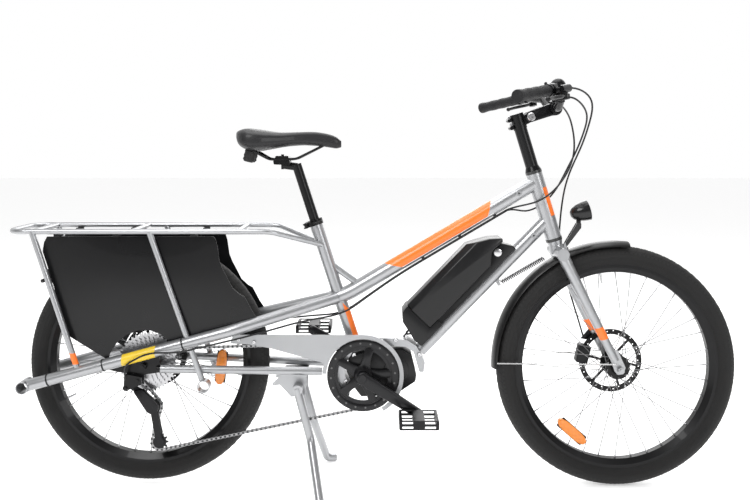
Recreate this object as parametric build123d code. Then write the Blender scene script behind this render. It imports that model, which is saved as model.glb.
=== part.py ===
from build123d import *
import math
import os

# Longtail cargo bicycle with a middle motor, standing on its double-leg centre stand.
# Millimetres. +X is forwards, +Y is the rider's left, +Z is up. The origin is on the ground,
# midway between the rearmost and foremost points. Lengths along the bicycle are given from
# the rear axle, and the function at() turns them into the part's own frame.

# ---- overall layout ----
WHEELBASE = 1308.0
TYRE_RADIUS = 336.5
TYRE_WIDTH = 60.0
REAR_LIFT = 15.0            # the stand holds the rear wheel off the ground
TAIL_OVERHANG = 372.0       # rack tail behind the rear axle
CRANK_REACH = 599.0         # crank centre ahead of the rear axle
CRANK_DROP = 30.5           # crank centre below the rear axle
CLEARANCE = 0.3             # between curved faces of different bodies
SHAFT_CLEARANCE = 0.05      # radial, between a shaft and its bore

# ---- front end ----
HEAD_ANGLE = 16.8           # steering axis from vertical, degrees
FORK_RAKE = 62.0
FORK_LENGTH = 384.0         # along the steering axis, from beside the axle to the lower cup
HEAD_TUBE_LENGTH = 190.0
HEAD_TUBE_RADIUS = 22.5
HEAD_TUBE_WALL = 2.5
CUP_LIP = 8.0               # headset cup height outside the head tube
CUP_DEPTH = 14.0
STEERER_RADIUS = 14.3
SPACER_RADIUS = 18.0
SPACER_LENGTH = 122.0
STEM_BASE_HEIGHT = 44.0
FORK_LEG_RADIUS = 15.5
FORK_TIP_RADIUS = 11.0
FORK_CROWN_SPREAD = 50.0    # leg centre from the middle, at the crown
FORK_TIP_SPREAD = 62.0      # leg centre from the middle, at the tip
FRONT_HUB_WIDTH = 100.0     # between the fork tips
DROPOUT_THICKNESS = 6.0
FENDER_CLEARANCE = 10.0
FENDER_THICKNESS = 2.5
FENDER_HALF_WIDTH = 34.0
FENDER_FRONT_ANGLE = 84.0   # degrees round the front axle from straight ahead
FENDER_REAR_ANGLE = 181.0
STAY_RADIUS = 1.75

# ---- main frame ----
SEAT_ANGLE = 18.0           # seat tube from vertical, degrees
SEAT_TUBE_LENGTH = 442.0
SEAT_TUBE_RADIUS = 17.5
SEAT_TUBE_WALL = 3.8
TOP_TUBE_RADIUS = 21.0
TOP_TUBE_JOIN = 25.0        # below the upper end of the head tube
TOP_TUBE_ANGLE = 30.6
DOWN_TUBE_RADIUS = 18.5
DOWN_TUBE_JOIN = 55.0       # above the lower end of the head tube
CRADLE_NOSE = (160.0, 56.0)  # foot of the down tube from the crank centre
TUBE_WALL = 2.0
GUSSET_RADIUS = 9.0
GUSSET_SEAT = 320.0         # upper end of the gusset, up the seat tube
GUSSET_RUN = 130.0
BOSS_RADIUS = 8.0
BOSS_BORE = 3.0
BOSS_DEPTH = 9.0

# ---- long rear frame and rack ----
REAR_HUB_WIDTH = 135.0
SIDE_RAIL_RADIUS = 16.0
SIDE_RAIL_SLOPE = 0.268     # rise over run, forwards
SIDE_RAIL_HEIGHT = 35.0     # centre of the rail above the rear axle, over the axle
SIDE_RAIL_TAIL = 318.0      # rear sockets behind the rear axle
SIDE_RAIL_BEND = 235.0      # where the pair starts to draw together
SIDE_RAIL_FRONT_SPREAD = 17.0
RACK_RADIUS = 7.5
RACK_WALL = 1.8
RACK_HEIGHT = 721.0
RACK_HALF_WIDTH = 92.0
RACK_FRONT = 347.0          # where the rack bends down to the seat tube
RACK_JOIN = 373.0           # where it meets the seat tube, up that tube
RACK_CORNER = 45.0
CROSSBAR_STATIONS = (-296.0, -28.0, 260.0)
CROSSBAR_RADIUS = 7.0
STRUT_RADIUS = 8.0
REAR_STRUT_TOP = -298.0
REAR_STRUT_FOOT = -172.0
FRONT_STRUT_TOP = 20.0
SOCKET_RADIUS = 17.0
SOCKET_WALL = 2.5
FRONT_SOCKET = (167.0, -51.0)  # from the rear axle
SOCKET_LENGTH = 28.0
SOCKET_OVERHANG = 20.0      # rear sockets outside the rails
REAR_SOCKET_INNER = 60.0    # their inner ends from the middle, clear of the tyre
CHAINSTAY_RADIUS = 11.0
CHAINSTAY_FRONT = 486.0
CHAINSTAY_FRONT_SPREAD = 46.0
AXLE_RADIUS = 5.0

# ---- drive ----
CHAIN_PITCH = 12.7
CHAIN_LINE = 50.0           # chain from the middle, to the right
CHAIN_WIDTH = 5.8
CHAIN_HEIGHT = 8.0
RING_TEETH = 44
RING_THICKNESS = 3.0
SPROCKETS = (11, 13, 15, 17, 20, 23, 26, 30, 34, 40)
CHAIN_ON = 20
SPROCKET_SPACING = 3.95
SPROCKET_THICKNESS = 1.6
PULLEY_TEETH = 11
PULLEY_THICKNESS = 3.0
GUIDE_PULLEY = (22.0, -115.5)    # from the rear axle
TENSION_PULLEY = (38.0, -214.5)
CRANK_LENGTH = 175.0
CRANK_ANGLE = -32.0         # right crank above straight ahead, degrees
CRANK_INNER_FACE = 79.0
CRANK_THICKNESS = 14.0
SPINDLE_RADIUS = 10.0
RING_GUARD_RADIUS = 99.0
GUARD_GAP = 2.0             # chain guard round the ring guard
GUARD_RIM = 11.0
GUARD_THICKNESS = 2.5
MOTOR_HALF_WIDTH = 34.0
MOTOR_COVER = 9.0
MOTOR_WALL = 3.5
PEDAL_LENGTH = 104.0
PEDAL_WIDTH = 94.0
PEDAL_THICKNESS = 24.0
PEDAL_SPINDLE_RADIUS = 5.0

# ---- wheels ----
RIM_RADIUS = 285.0          # where the tyre sits
RIM_DEPTH = 23.0
RIM_HALF_WIDTH = 20.0
RIM_WALL = 2.5
TYRE_WALL = 4.0
SPOKES = 36
SPOKE_RADIUS = 1.0
HUB_FLANGE_RADIUS = 34.0
SPOKE_CIRCLE = 29.0
ROTOR_RADIUS = 90.0
ROTOR_THICKNESS = 1.8
ROTOR_BAND = 15.0
FRONT_ROTOR_OFFSET = 44.0
REAR_ROTOR_OFFSET = 51.0

# ---- seat ----
POST_RADIUS = 13.6
POST_INSERTION = 130.0
POST_EXPOSED = 168.0
SADDLE_LENGTH = 292.0
SADDLE_WIDTH = 176.0
SADDLE_FRONT = 538.0

# ---- handlebar ----
STEM_PIVOT = (1067.0, 1034.0)
BAR_CLAMP = (1136.0, 1058.0)
BAR_RADIUS = 11.1
BAR_CLAMP_RADIUS = 15.9
BAR_WALL = 2.2
GRIP_RADIUS = 16.0
GRIP_WALL = 4.6
GRIP_INNER = (1079.0, 1096.0, 210.0)
GRIP_OUTER = (978.0, 1074.0, 332.0)

# ---- centre stand ----
STAND_PIVOT = (-179.0, -36.0)   # from the crank centre
STAND_RADIUS = 11.5
STAND_WALL = 2.5
STAND_TOP_HALF = 66.6       # legs pass between the chain and the cranks
STAND_FOOT_HALF = 160.0
STAND_SHAFT_RADIUS = 8.0

# ---- battery ----
BATTERY_LENGTH = 345.0
BATTERY_DEPTH = 92.0
BATTERY_HALF_WIDTH = 41.0
BATTERY_FOOT = 22.0         # lower end of its holder, up the down tube
BATTERY_WALL = 3.0
HOLDER_THICKNESS = 12.0

# ---- skirts ----
SKIRT_THICKNESS = 1.6
SKIRT_OFFSET = 71.5         # inner face from the middle
SKIRT_WHEEL_CUTOUT = 96.0


REAR_AXLE_X = (TAIL_OVERHANG - WHEELBASE - TYRE_RADIUS) / 2
AXLE_HEIGHT = TYRE_RADIUS + REAR_LIFT
CRANK_HEIGHT = AXLE_HEIGHT - CRANK_DROP


def at(x, z, y=0.0):
    """A point x ahead of the rear axle, z above the ground and y to the left."""
    return Vector(x + REAR_AXLE_X, y, z)


def rod(start, end, radius):
    start, end = Vector(start), Vector(end)
    return Solid.make_cylinder(radius, (end - start).length, Plane(start, z_dir=end - start))


def cone(start, end, radius, end_radius):
    start, end = Vector(start), Vector(end)
    return Solid.make_cone(radius, end_radius, (end - start).length, Plane(start, z_dir=end - start))


def cross_rod(x, z, radius, y_low, y_high):
    """A round bar across the bicycle."""
    return rod(at(x, z, y_low), at(x, z, y_high), radius)


def cut(shape, *tools):
    for tool in tools:
        shape = shape - tool
    return shape


def bent(points, radius, bends):
    """A round bar along straight runs joined by arcs."""
    path = FilletPolyline(*points, radius=bends)
    return sweep(Plane(path @ 0, z_dir=path % 0) * Circle(radius), path=path)


def bent_pipe(points, radius, wall, bends):
    path = FilletPolyline(*points, radius=bends)
    section = Plane(path @ 0, z_dir=path % 0) * (Circle(radius) - Circle(radius - wall))
    return sweep(section, path=path)


def pipe(start, end, radius, wall):
    return rod(start, end, radius) - rod(start, end, radius - wall)


def plate(outline, y_low, y_high, corner=0.0):
    """A plate in the bicycle's middle plane. outline holds points (x, z) from the rear axle."""
    face = make_face(Polyline(*[(x + REAR_AXLE_X, z) for x, z in outline], close=True))
    if corner:
        face = fillet(face.vertices(), corner)
    return extrude(Plane((0, y_high, 0), x_dir=(1, 0, 0), z_dir=(0, -1, 0)) * face, y_high - y_low)


def block(low, high, corner=0.0):
    low, high = Vector(low), Vector(high)
    size = high - low
    solid = Pos(*((low + high) / 2)) * Box(size.X, size.Y, size.Z)
    return fillet(solid.edges(), corner) if corner else solid


def mirrored(shape):
    return mirror(shape, about=Plane.XZ)


def both(shape):
    """The right-hand shape and its left-hand twin."""
    return [shape, mirrored(shape)]


def twin(point):
    """A right-hand point carried over to the left."""
    return Vector(point.X, -point.Y, point.Z)


def chain_radius(teeth):
    return CHAIN_PITCH / (2 * math.sin(math.pi / teeth))


def cable(points, radius, name):
    """A held cable: straight runs joined by the widest arcs that they allow."""
    points = [Vector(p) for p in points]
    bends = []
    for before, corner, after in zip(points, points[1:], points[2:]):
        turn = (corner - before).get_angle(after - corner)
        shorter = min((corner - before).length, (after - corner).length)
        bends.append(0.45 * shorter / math.tan(math.radians(turn / 2)))
    solid = bent(points, radius, bends)
    print(name, "bend radii", [round(b) for b in bends])
    return solid


NODES = {}


def keep(name, *shapes):
    NODES.setdefault(name, [])
    for shape in shapes:
        NODES[name] += list(shape.solids())


# ---- reference points and axes ----
rear_axle = at(0, AXLE_HEIGHT)
front_axle = at(WHEELBASE, TYRE_RADIUS)
crank = at(CRANK_REACH, CRANK_HEIGHT)

head_tilt = math.radians(HEAD_ANGLE)
steer_up = Vector(-math.sin(head_tilt), 0, math.cos(head_tilt))
steer_ahead = Vector(math.cos(head_tilt), 0, math.sin(head_tilt))
steer_foot = front_axle - steer_ahead * FORK_RAKE
STEER = Plane(steer_foot, x_dir=steer_ahead, z_dir=steer_up)


def on_steerer(height, ahead=0.0, y=0.0):
    """A point up the steering axis from beside the front axle."""
    return steer_foot + steer_up * height + steer_ahead * ahead + Vector(0, y, 0)


HEAD_BOTTOM = FORK_LENGTH + CUP_LIP
HEAD_TOP = HEAD_BOTTOM + HEAD_TUBE_LENGTH
SPACER_BOTTOM = HEAD_TOP + CUP_LIP + CLEARANCE
SPACER_TOP = SPACER_BOTTOM + SPACER_LENGTH
STEERER_TOP = SPACER_TOP + STEM_BASE_HEIGHT - 2

seat_tilt = math.radians(SEAT_ANGLE)
seat_up = Vector(-math.sin(seat_tilt), 0, math.cos(seat_tilt))
seat_ahead = Vector(math.cos(seat_tilt), 0, math.sin(seat_tilt))


def on_seat_tube(height, ahead=0.0, y=0.0):
    """A point up the seat tube's axis from the crank centre."""
    return crank + seat_up * height + seat_ahead * ahead + Vector(0, y, 0)


def rail_height(x):
    return AXLE_HEIGHT + SIDE_RAIL_HEIGHT + SIDE_RAIL_SLOPE * x


rail_half_width = REAR_HUB_WIDTH / 2 + DROPOUT_THICKNESS + SIDE_RAIL_RADIUS

# Envelopes: the full outline of a tube, used to cope its neighbours to it
head_envelope = rod(on_steerer(HEAD_BOTTOM), on_steerer(HEAD_TOP), HEAD_TUBE_RADIUS)
seat_envelope = rod(on_seat_tube(0), on_seat_tube(SEAT_TUBE_LENGTH), SEAT_TUBE_RADIUS)


# ---- head tube and headset ----
head_bore = HEAD_TUBE_RADIUS - HEAD_TUBE_WALL
head_tube = pipe(on_steerer(HEAD_BOTTOM), on_steerer(HEAD_TOP), HEAD_TUBE_RADIUS, HEAD_TUBE_WALL)


def headset_cup(seat, lip_end, inner_end):
    """A cup pressed into the head tube, with its outer lip and the bearing bore."""
    lip = rod(on_steerer(seat), on_steerer(lip_end), HEAD_TUBE_RADIUS + 0.8)
    skirt = rod(on_steerer(seat), on_steerer(inner_end), head_bore)
    low, high = sorted((lip_end, inner_end))
    bore = rod(on_steerer(low - 1), on_steerer(high + 1), STEERER_RADIUS + SHAFT_CLEARANCE)
    return lip.fuse(skirt) - bore


# ---- main tubes ----
top_join = on_steerer(HEAD_TOP - TOP_TUBE_JOIN)
rail_meeting = on_seat_tube(0)
seat_crossing_x = CRANK_REACH - (rail_height(CRANK_REACH) - CRANK_HEIGHT) * math.tan(seat_tilt) * 0.93
rear_tube_end = at(seat_crossing_x - SEAT_TUBE_RADIUS - 7, rail_height(seat_crossing_x - SEAT_TUBE_RADIUS - 7))
tube_slope = math.tan(math.radians(TOP_TUBE_ANGLE))
# the straight run of the top tube meets the line of the side rails at its bend
bend_x = (
    top_join.Z - tube_slope * (top_join.X - REAR_AXLE_X) - AXLE_HEIGHT - SIDE_RAIL_HEIGHT
) / (SIDE_RAIL_SLOPE - tube_slope)
top_bend = at(bend_x, rail_height(bend_x))
TOP_TUBE_BEND = 230.0
top_run = [top_join, top_bend, rear_tube_end]
top_envelope = bent(top_run, TOP_TUBE_RADIUS, TOP_TUBE_BEND)
top_tube = cut(bent_pipe(top_run, TOP_TUBE_RADIUS, TUBE_WALL, TOP_TUBE_BEND), head_envelope, seat_envelope)
top_tube = max(top_tube.solids(), key=lambda s: s.volume)

nose = crank + Vector(CRADLE_NOSE[0], 0, CRADLE_NOSE[1])
down_join = on_steerer(HEAD_BOTTOM + DOWN_TUBE_JOIN)
down_envelope = rod(nose, down_join, DOWN_TUBE_RADIUS)
down_tube = cut(pipe(nose, down_join, DOWN_TUBE_RADIUS, TUBE_WALL), head_envelope)
down_dir = (down_join - nose).normalized()
down_out = Vector(-down_dir.Z, 0, down_dir.X)    # towards the rider
down_length = (down_join - nose).length

seat_tube_foot = 66.0
seat_tube = rod(on_seat_tube(seat_tube_foot), on_seat_tube(SEAT_TUBE_LENGTH), SEAT_TUBE_RADIUS)
seat_tube = seat_tube - rod(
    on_seat_tube(seat_tube_foot), on_seat_tube(SEAT_TUBE_LENGTH), POST_RADIUS + SHAFT_CLEARANCE
)

gusset_top = on_seat_tube(GUSSET_SEAT)
gusset_foot = gusset_top + Vector(GUSSET_RUN, 0, -GUSSET_RUN * 0.72)
gusset = cut(pipe(gusset_top, gusset_foot, GUSSET_RADIUS, TUBE_WALL), seat_envelope, top_envelope)
gusset = max(gusset.solids(), key=lambda s: s.volume)


def boss(point, radius, drill=True):
    """A threaded boss on the right side of a tube, facing right."""
    outer = rod(point + Vector(0, -radius - 2, 0), point + Vector(0, -radius + BOSS_DEPTH, 0), BOSS_RADIUS)
    hole = rod(point + Vector(0, -radius - 3, 0), point + Vector(0, -radius + BOSS_DEPTH - 1, 0), BOSS_BORE)
    return outer, hole


top_dir = (top_join - top_bend).normalized()
top_boss_point = top_join - top_dir * 62
down_boss_point = down_join - down_dir * 62
top_boss, top_boss_hole = boss(top_boss_point, TOP_TUBE_RADIUS)
down_boss, down_boss_hole = boss(down_boss_point, DOWN_TUBE_RADIUS)
top_tube = top_tube.fuse(top_boss) - top_boss_hole
down_tube = down_tube.fuse(down_boss) - down_boss_hole
head_boss_point = on_steerer(HEAD_BOTTOM + 45)

keep("head_tube", head_tube)
keep("head_tube", headset_cup(HEAD_BOTTOM, HEAD_BOTTOM - CUP_LIP, HEAD_BOTTOM + CUP_DEPTH))
keep("head_tube", headset_cup(HEAD_TOP, HEAD_TOP + CUP_LIP, HEAD_TOP - CUP_DEPTH))
keep("top_tube", top_tube)
keep("down_tube", down_tube)

# ---- side rails ----
rail_start = at(seat_crossing_x - 4, rail_height(seat_crossing_x - 4), -SIDE_RAIL_FRONT_SPREAD)
rail_bend = at(SIDE_RAIL_BEND, rail_height(SIDE_RAIL_BEND), -rail_half_width)
rail_end = at(-SIDE_RAIL_TAIL, rail_height(-SIDE_RAIL_TAIL), -rail_half_width)
RAIL_BEND_RADIUS = 250.0
rail_run = [rail_start, rail_bend, rail_end]
rail_envelope = bent(rail_run, SIDE_RAIL_RADIUS, RAIL_BEND_RADIUS)
right_half = Pos(0, -500, CRANK_HEIGHT) * Box(4000, 1000, 3000)
socket_y = rail_half_width + SOCKET_OVERHANG
rear_socket = at(-SIDE_RAIL_TAIL, rail_height(-SIDE_RAIL_TAIL))
rear_socket_envelope = rod(
    rear_socket - Vector(0, socket_y, 0), rear_socket + Vector(0, socket_y, 0), SOCKET_RADIUS
)
right_rail = cut(
    bent_pipe(rail_run, SIDE_RAIL_RADIUS, TUBE_WALL, RAIL_BEND_RADIUS) & right_half,
    seat_envelope, top_envelope, rear_socket_envelope,
)
right_rail = max(right_rail.solids(), key=lambda s: s.volume)
keep("side_rails", *both(right_rail))

# ---- sockets for the side loaders ----
front_socket = rear_axle + Vector(FRONT_SOCKET[0], 0, FRONT_SOCKET[1])
front_socket_y = rail_half_width - 8
front_socket_stub = pipe(
    front_socket - Vector(0, front_socket_y + SOCKET_LENGTH / 2, 0),
    front_socket - Vector(0, front_socket_y - SOCKET_LENGTH / 2, 0),
    SOCKET_RADIUS, SOCKET_WALL,
)
rear_socket_stub = pipe(
    rear_socket - Vector(0, socket_y, 0), rear_socket - Vector(0, REAR_SOCKET_INNER, 0), SOCKET_RADIUS, SOCKET_WALL
)
keep("loader_sockets", *both(rear_socket_stub))
keep("loader_sockets", *both(front_socket_stub))

# ---- chainstays, dropouts and stand bracket ----
dropout_inner = REAR_HUB_WIDTH / 2
dropout_outer = dropout_inner + DROPOUT_THICKNESS
stay_rear = at(38, AXLE_HEIGHT - 7, -(dropout_outer + 0.5))
stay_front = at(CHAINSTAY_FRONT, CRANK_HEIGHT + 9, -CHAINSTAY_FRONT_SPREAD)
stay_envelope = rod(stay_rear, stay_front, CHAINSTAY_RADIUS)
dropout_outline = [
    (-98, AXLE_HEIGHT + 9), (-98, AXLE_HEIGHT - 10), (-58, AXLE_HEIGHT - 18), (-2, AXLE_HEIGHT - 24),
    (44, AXLE_HEIGHT - 17), (44, rail_height(44)), (-40, rail_height(-40)),
]
hanger_hole = at(-13, AXLE_HEIGHT - 36)
dropout = plate(dropout_outline, -dropout_outer, -dropout_inner, 3)
hanger = plate(
    [(-30, AXLE_HEIGHT - 12), (-26, AXLE_HEIGHT - 48), (0, AXLE_HEIGHT - 48), (4, AXLE_HEIGHT - 12)],
    -dropout_outer, -dropout_inner, 6,
)
HANGER_BOLT_RADIUS = 5.0
axle_hole = rod(rear_axle - Vector(0, 200, 0), rear_axle + Vector(0, 200, 0), AXLE_RADIUS)
hanger_bore = rod(hanger_hole - Vector(0, 200, 0), hanger_hole, HANGER_BOLT_RADIUS)
stay_dir = (stay_front - stay_rear).normalized()
stay_plug = rod(stay_rear - stay_dir * 2, stay_rear + stay_dir * 26, CHAINSTAY_RADIUS - TUBE_WALL - 0.2)
right_dropout = cut(dropout.fuse(stay_plug).fuse(hanger), axle_hole, hanger_bore, rail_envelope)
left_dropout = cut(mirrored(dropout.fuse(stay_plug)), axle_hole, mirrored(rail_envelope))
right_stay = pipe(stay_rear + stay_dir * 9, stay_front, CHAINSTAY_RADIUS, TUBE_WALL)
keep("chainstays", *both(right_stay))

AXLE_NUT = 11.0
nut_outer = dropout_outer + 12
axle_end = dropout_outer + 15
rear_axle_rod = rod(rear_axle - Vector(0, axle_end, 0), rear_axle + Vector(0, axle_end, 0), AXLE_RADIUS)


def axle_nut(centre, y_inner, y_outer):
    plane = Plane(centre + Vector(0, y_inner, 0), z_dir=(0, math.copysign(1, y_outer - y_inner), 0))
    nut = extrude(plane * RegularPolygon(AXLE_NUT - 1.5, 6), abs(y_outer - y_inner))
    return nut - rod(centre - Vector(0, 200, 0), centre + Vector(0, 200, 0), AXLE_RADIUS)


keep("rear_dropouts", right_dropout, left_dropout, rear_axle_rod)
keep("rear_dropouts", axle_nut(rear_axle, -dropout_outer, -nut_outer), axle_nut(rear_axle, dropout_outer, nut_outer))

stand_x = CRANK_REACH + STAND_PIVOT[0]
stand_z = CRANK_HEIGHT + STAND_PIVOT[1]
stand_pivot = at(stand_x, stand_z)
BRACKET_CHEEK = 4.0
BRACKET_HALF = 40.0
stay_y_at_stand = dropout_outer + (CHAINSTAY_FRONT_SPREAD - dropout_outer) * (stand_x - 38) / (CHAINSTAY_FRONT - 38)
bracket_top = stay_rear.Z + (stay_front.Z - stay_rear.Z) * (stand_x - 38) / (CHAINSTAY_FRONT - 38) - CHAINSTAY_RADIUS
bracket_outline = [
    (stand_x - 80, stand_z + 2), (stand_x - 52, stand_z + 6), (stand_x - 20, stand_z - 28),
    (stand_x + 20, stand_z - 20), (stand_x + 22, bracket_top - 0.2), (stand_x - 45, bracket_top - 0.2),
]
cheek = plate(bracket_outline, -BRACKET_HALF, -BRACKET_HALF + BRACKET_CHEEK, 4)
cheek = cheek - cross_rod(stand_x, stand_z, STAND_SHAFT_RADIUS + SHAFT_CLEARANCE, -200, 200)
bracket_plate = block(
    at(stand_x - 45, bracket_top - 4.2, -stay_y_at_stand), at(stand_x + 22, bracket_top - 0.2, stay_y_at_stand)
)
bracket = bracket_plate.fuse(cheek).fuse(mirrored(cheek))
keep("chainstays", cut(bracket, stay_envelope, mirrored(stay_envelope)))

# ---- rack ----
rack_join = on_seat_tube(RACK_JOIN)
rack_tail_x = -TAIL_OVERHANG + RACK_RADIUS
rack_run = [
    rack_join + Vector(0, -12, 0),
    at(RACK_FRONT, RACK_HEIGHT, -RACK_HALF_WIDTH),
    at(rack_tail_x, RACK_HEIGHT, -RACK_HALF_WIDTH),
    at(rack_tail_x, RACK_HEIGHT, RACK_HALF_WIDTH),
    at(RACK_FRONT, RACK_HEIGHT, RACK_HALF_WIDTH),
    rack_join + Vector(0, 12, 0),
]
rack_bends = [60.0, RACK_CORNER, RACK_CORNER, 60.0]
rack_loop = cut(bent_pipe(rack_run, RACK_RADIUS, RACK_WALL, rack_bends), seat_envelope)
rack_loop = max(rack_loop.solids(), key=lambda s: s.volume)
rack_rail = rod(
    at(rack_tail_x, RACK_HEIGHT, -RACK_HALF_WIDTH), at(RACK_FRONT, RACK_HEIGHT, -RACK_HALF_WIDTH), RACK_RADIUS
)
keep("rack", rack_loop)
for station in CROSSBAR_STATIONS:
    bar = pipe(
        at(station, RACK_HEIGHT, -RACK_HALF_WIDTH), at(station, RACK_HEIGHT, RACK_HALF_WIDTH),
        CROSSBAR_RADIUS, RACK_WALL,
    )
    keep("rack", cut(bar, rack_rail, mirrored(rack_rail)))

# ---- struts between the rack and the lower frame ----
rear_strut = cut(
    pipe(
        at(REAR_STRUT_TOP, RACK_HEIGHT, -RACK_HALF_WIDTH),
        at(REAR_STRUT_FOOT, rail_height(REAR_STRUT_FOOT), -rail_half_width), STRUT_RADIUS, RACK_WALL,
    ),
    rack_rail, rail_envelope, cross_rod(CROSSBAR_STATIONS[0], RACK_HEIGHT, CROSSBAR_RADIUS, -RACK_HALF_WIDTH, 0),
)
front_strut = cut(
    pipe(
        at(FRONT_STRUT_TOP, RACK_HEIGHT, -RACK_HALF_WIDTH),
        front_socket - Vector(0, front_socket_y, 0), STRUT_RADIUS, RACK_WALL,
    ),
    rack_rail, rail_envelope, stay_envelope,
    rod(front_socket - Vector(0, 200, 0), front_socket, SOCKET_RADIUS),
)
keep("rack_struts", *both(rear_strut), *both(front_strut))

# ---- motor cradle ----
CX, CZ = CRANK_REACH, CRANK_HEIGHT
cradle_outline = [
    (CX - 66, CZ - 58), (CX - 38, CZ - 62), (CX - 34, CZ - 34), (CX - 50, CZ - 8), (CX - 50, CZ + 24),
    (CX - 28, CZ + 62), (CX + 6, CZ + 72), (CX + 84, CZ + 76), (CX + 118, CZ + 74), (CX + 140, CZ + 60),
    (CX + 156, CZ + 4), (CX + 168, CZ + 4), (CX + 172, CZ + 30), (CX + 148, CZ + 76), (CX + 122, CZ + 92),
    (CX + 84, CZ + 97), (CX - 10, CZ + 99), (CX - 56, CZ + 92), (CX - 72, CZ + 50), (CX - 78, CZ - 10),
]
cradle = plate(cradle_outline, -MOTOR_HALF_WIDTH - 2, MOTOR_HALF_WIDTH + 2, 3)
keep("seat_tube", cut(seat_tube, rod(on_seat_tube(40), on_seat_tube(40.5), 40)), gusset)

# ---- motor ----
motor_outline = [
    (CX - 40, CZ + 46), (CX + 10, CZ + 64), (CX + 112, CZ + 66), (CX + 134, CZ + 52), (CX + 148, CZ - 4),
    (CX + 146, CZ - 22), (CX + 104, CZ - 50), (CX + 40, CZ - 62), (CX - 6, CZ - 64), (CX - 32, CZ - 30),
    (CX - 46, CZ + 6),
]
motor_outer = plate(motor_outline, -MOTOR_HALF_WIDTH, MOTOR_HALF_WIDTH, 8)
motor_face = make_face(Polyline(*[(x + REAR_AXLE_X, z) for x, z in motor_outline], close=True))
motor_face = fillet(motor_face.vertices(), 8)
inner_face = offset(motor_face, -MOTOR_WALL)
motor_cavity = extrude(
    Plane((0, MOTOR_HALF_WIDTH - MOTOR_WALL, 0), x_dir=(1, 0, 0), z_dir=(0, -1, 0)) * inner_face,
    2 * MOTOR_HALF_WIDTH,
)
spindle_bore = cross_rod(CX, CZ, SPINDLE_RADIUS + SHAFT_CLEARANCE, -200, 200)
cradle = cut(cradle, seat_envelope, down_envelope, stay_envelope, mirrored(stay_envelope), motor_outer)
cradle = max(cradle.solids(), key=lambda s: s.volume)
keep("motor_cradle", cradle)
motor_shell = cut(motor_outer, motor_cavity, spindle_bore)
cover_face = offset(motor_face, -2)
motor_cover = extrude(
    Plane((0, -MOTOR_HALF_WIDTH, 0), x_dir=(1, 0, 0), z_dir=(0, -1, 0)) * cover_face, MOTOR_COVER
)
cover_ring = cross_rod(CX + 92, CZ + 12, 34, -MOTOR_HALF_WIDTH - MOTOR_COVER - 2.5, -MOTOR_HALF_WIDTH - MOTOR_COVER)
motor_cover = cut(motor_cover.fuse(cover_ring), spindle_bore)
stator = cross_rod(CX + 88, CZ + 10, 44, -MOTOR_HALF_WIDTH + 3, MOTOR_HALF_WIDTH - MOTOR_WALL)
rotor_bore = cross_rod(CX + 88, CZ + 10, 29, -MOTOR_HALF_WIDTH + 2, MOTOR_HALF_WIDTH)
reduction_gear = cross_rod(CX, CZ, 34, -22, -6) - spindle_bore
sleeve_gear = cross_rod(CX, CZ, 20, -6, MOTOR_HALF_WIDTH - MOTOR_WALL) - spindle_bore
motor_rotor = cross_rod(CX + 88, CZ + 10, 28, -MOTOR_HALF_WIDTH + 4, MOTOR_HALF_WIDTH - MOTOR_WALL)
keep("motor_housing", motor_shell, motor_cover)
keep("motor_housing", stator - rotor_bore, motor_rotor, reduction_gear.fuse(sleeve_gear))

# ---- cranks, chainring and pedals ----
crank_turn = math.radians(CRANK_ANGLE)
crank_dir = Vector(math.cos(crank_turn), 0, math.sin(crank_turn))
crank_outer_face = CRANK_INNER_FACE + CRANK_THICKNESS


def crank_arm(side, direction):
    """A tapering crank arm with round ends, on the side -1 right or 1 left."""
    inner, outer = side * CRANK_INNER_FACE, side * crank_outer_face
    low, high = min(inner, outer), max(inner, outer)
    end = crank + direction * CRANK_LENGTH
    across = Vector(-direction.Z, 0, direction.X)
    root_half, tip_half = 17.0, 13.0
    corners = [
        crank + across * root_half, end + across * tip_half, end - across * tip_half, crank - across * root_half,
    ]
    arm = plate([(c.X - REAR_AXLE_X, c.Z) for c in corners], low, high)
    arm = arm.fuse(rod(crank + Vector(0, low, 0), crank + Vector(0, high, 0), root_half))
    arm = arm.fuse(rod(end + Vector(0, low, 0), end + Vector(0, high, 0), tip_half))
    eye = rod(end + Vector(0, -200, 0), end + Vector(0, 200, 0), PEDAL_SPINDLE_RADIUS)
    return cut(arm, eye, spindle)


spindle = cross_rod(CX, CZ, SPINDLE_RADIUS, -crank_outer_face + 2, crank_outer_face - 2)
ring_root = chain_radius(RING_TEETH) - CHAIN_HEIGHT / 2 - CLEARANCE
ring_low, ring_high = -CHAIN_LINE - RING_THICKNESS / 2, -CHAIN_LINE + RING_THICKNESS / 2
ring_band = cross_rod(CX, CZ, ring_root, ring_low, ring_high) - cross_rod(CX, CZ, ring_root - 14, -90, 0)
SPIDER_ARMS = 5
spider = cross_rod(CX, CZ, 30, -CHAIN_LINE - 6, ring_high)
for arm_number in range(SPIDER_ARMS):
    turn = crank_turn + 2 * math.pi * (arm_number + 0.5) / SPIDER_ARMS
    tip = crank + Vector(math.cos(turn), 0, math.sin(turn)) * (ring_root - 6)
    side = Vector(-math.sin(turn), 0, math.cos(turn)) * 11
    corners = [crank + side * 1.6, tip + side, tip - side, crank - side * 1.6]
    spider = spider.fuse(plate([(c.X - REAR_AXLE_X, c.Z) for c in corners], ring_low - 3, ring_high))
guard_ring_inner, guard_ring_outer = -CHAIN_LINE - 4.5, -CHAIN_LINE - 7
ring_guard = cross_rod(CX, CZ, RING_GUARD_RADIUS, guard_ring_outer, guard_ring_inner)
ring_guard = ring_guard - cross_rod(CX, CZ, RING_GUARD_RADIUS - 20, -90, 0)
guard_bridge = cross_rod(CX, CZ, ring_root - 2, guard_ring_inner, ring_low)
guard_bridge = guard_bridge - cross_rod(CX, CZ, ring_root - 14, -90, 0)
chainring = ring_band.fuse(guard_bridge).fuse(ring_guard).fuse(spider)
keep("chainring", cut(chainring, spindle))
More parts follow.
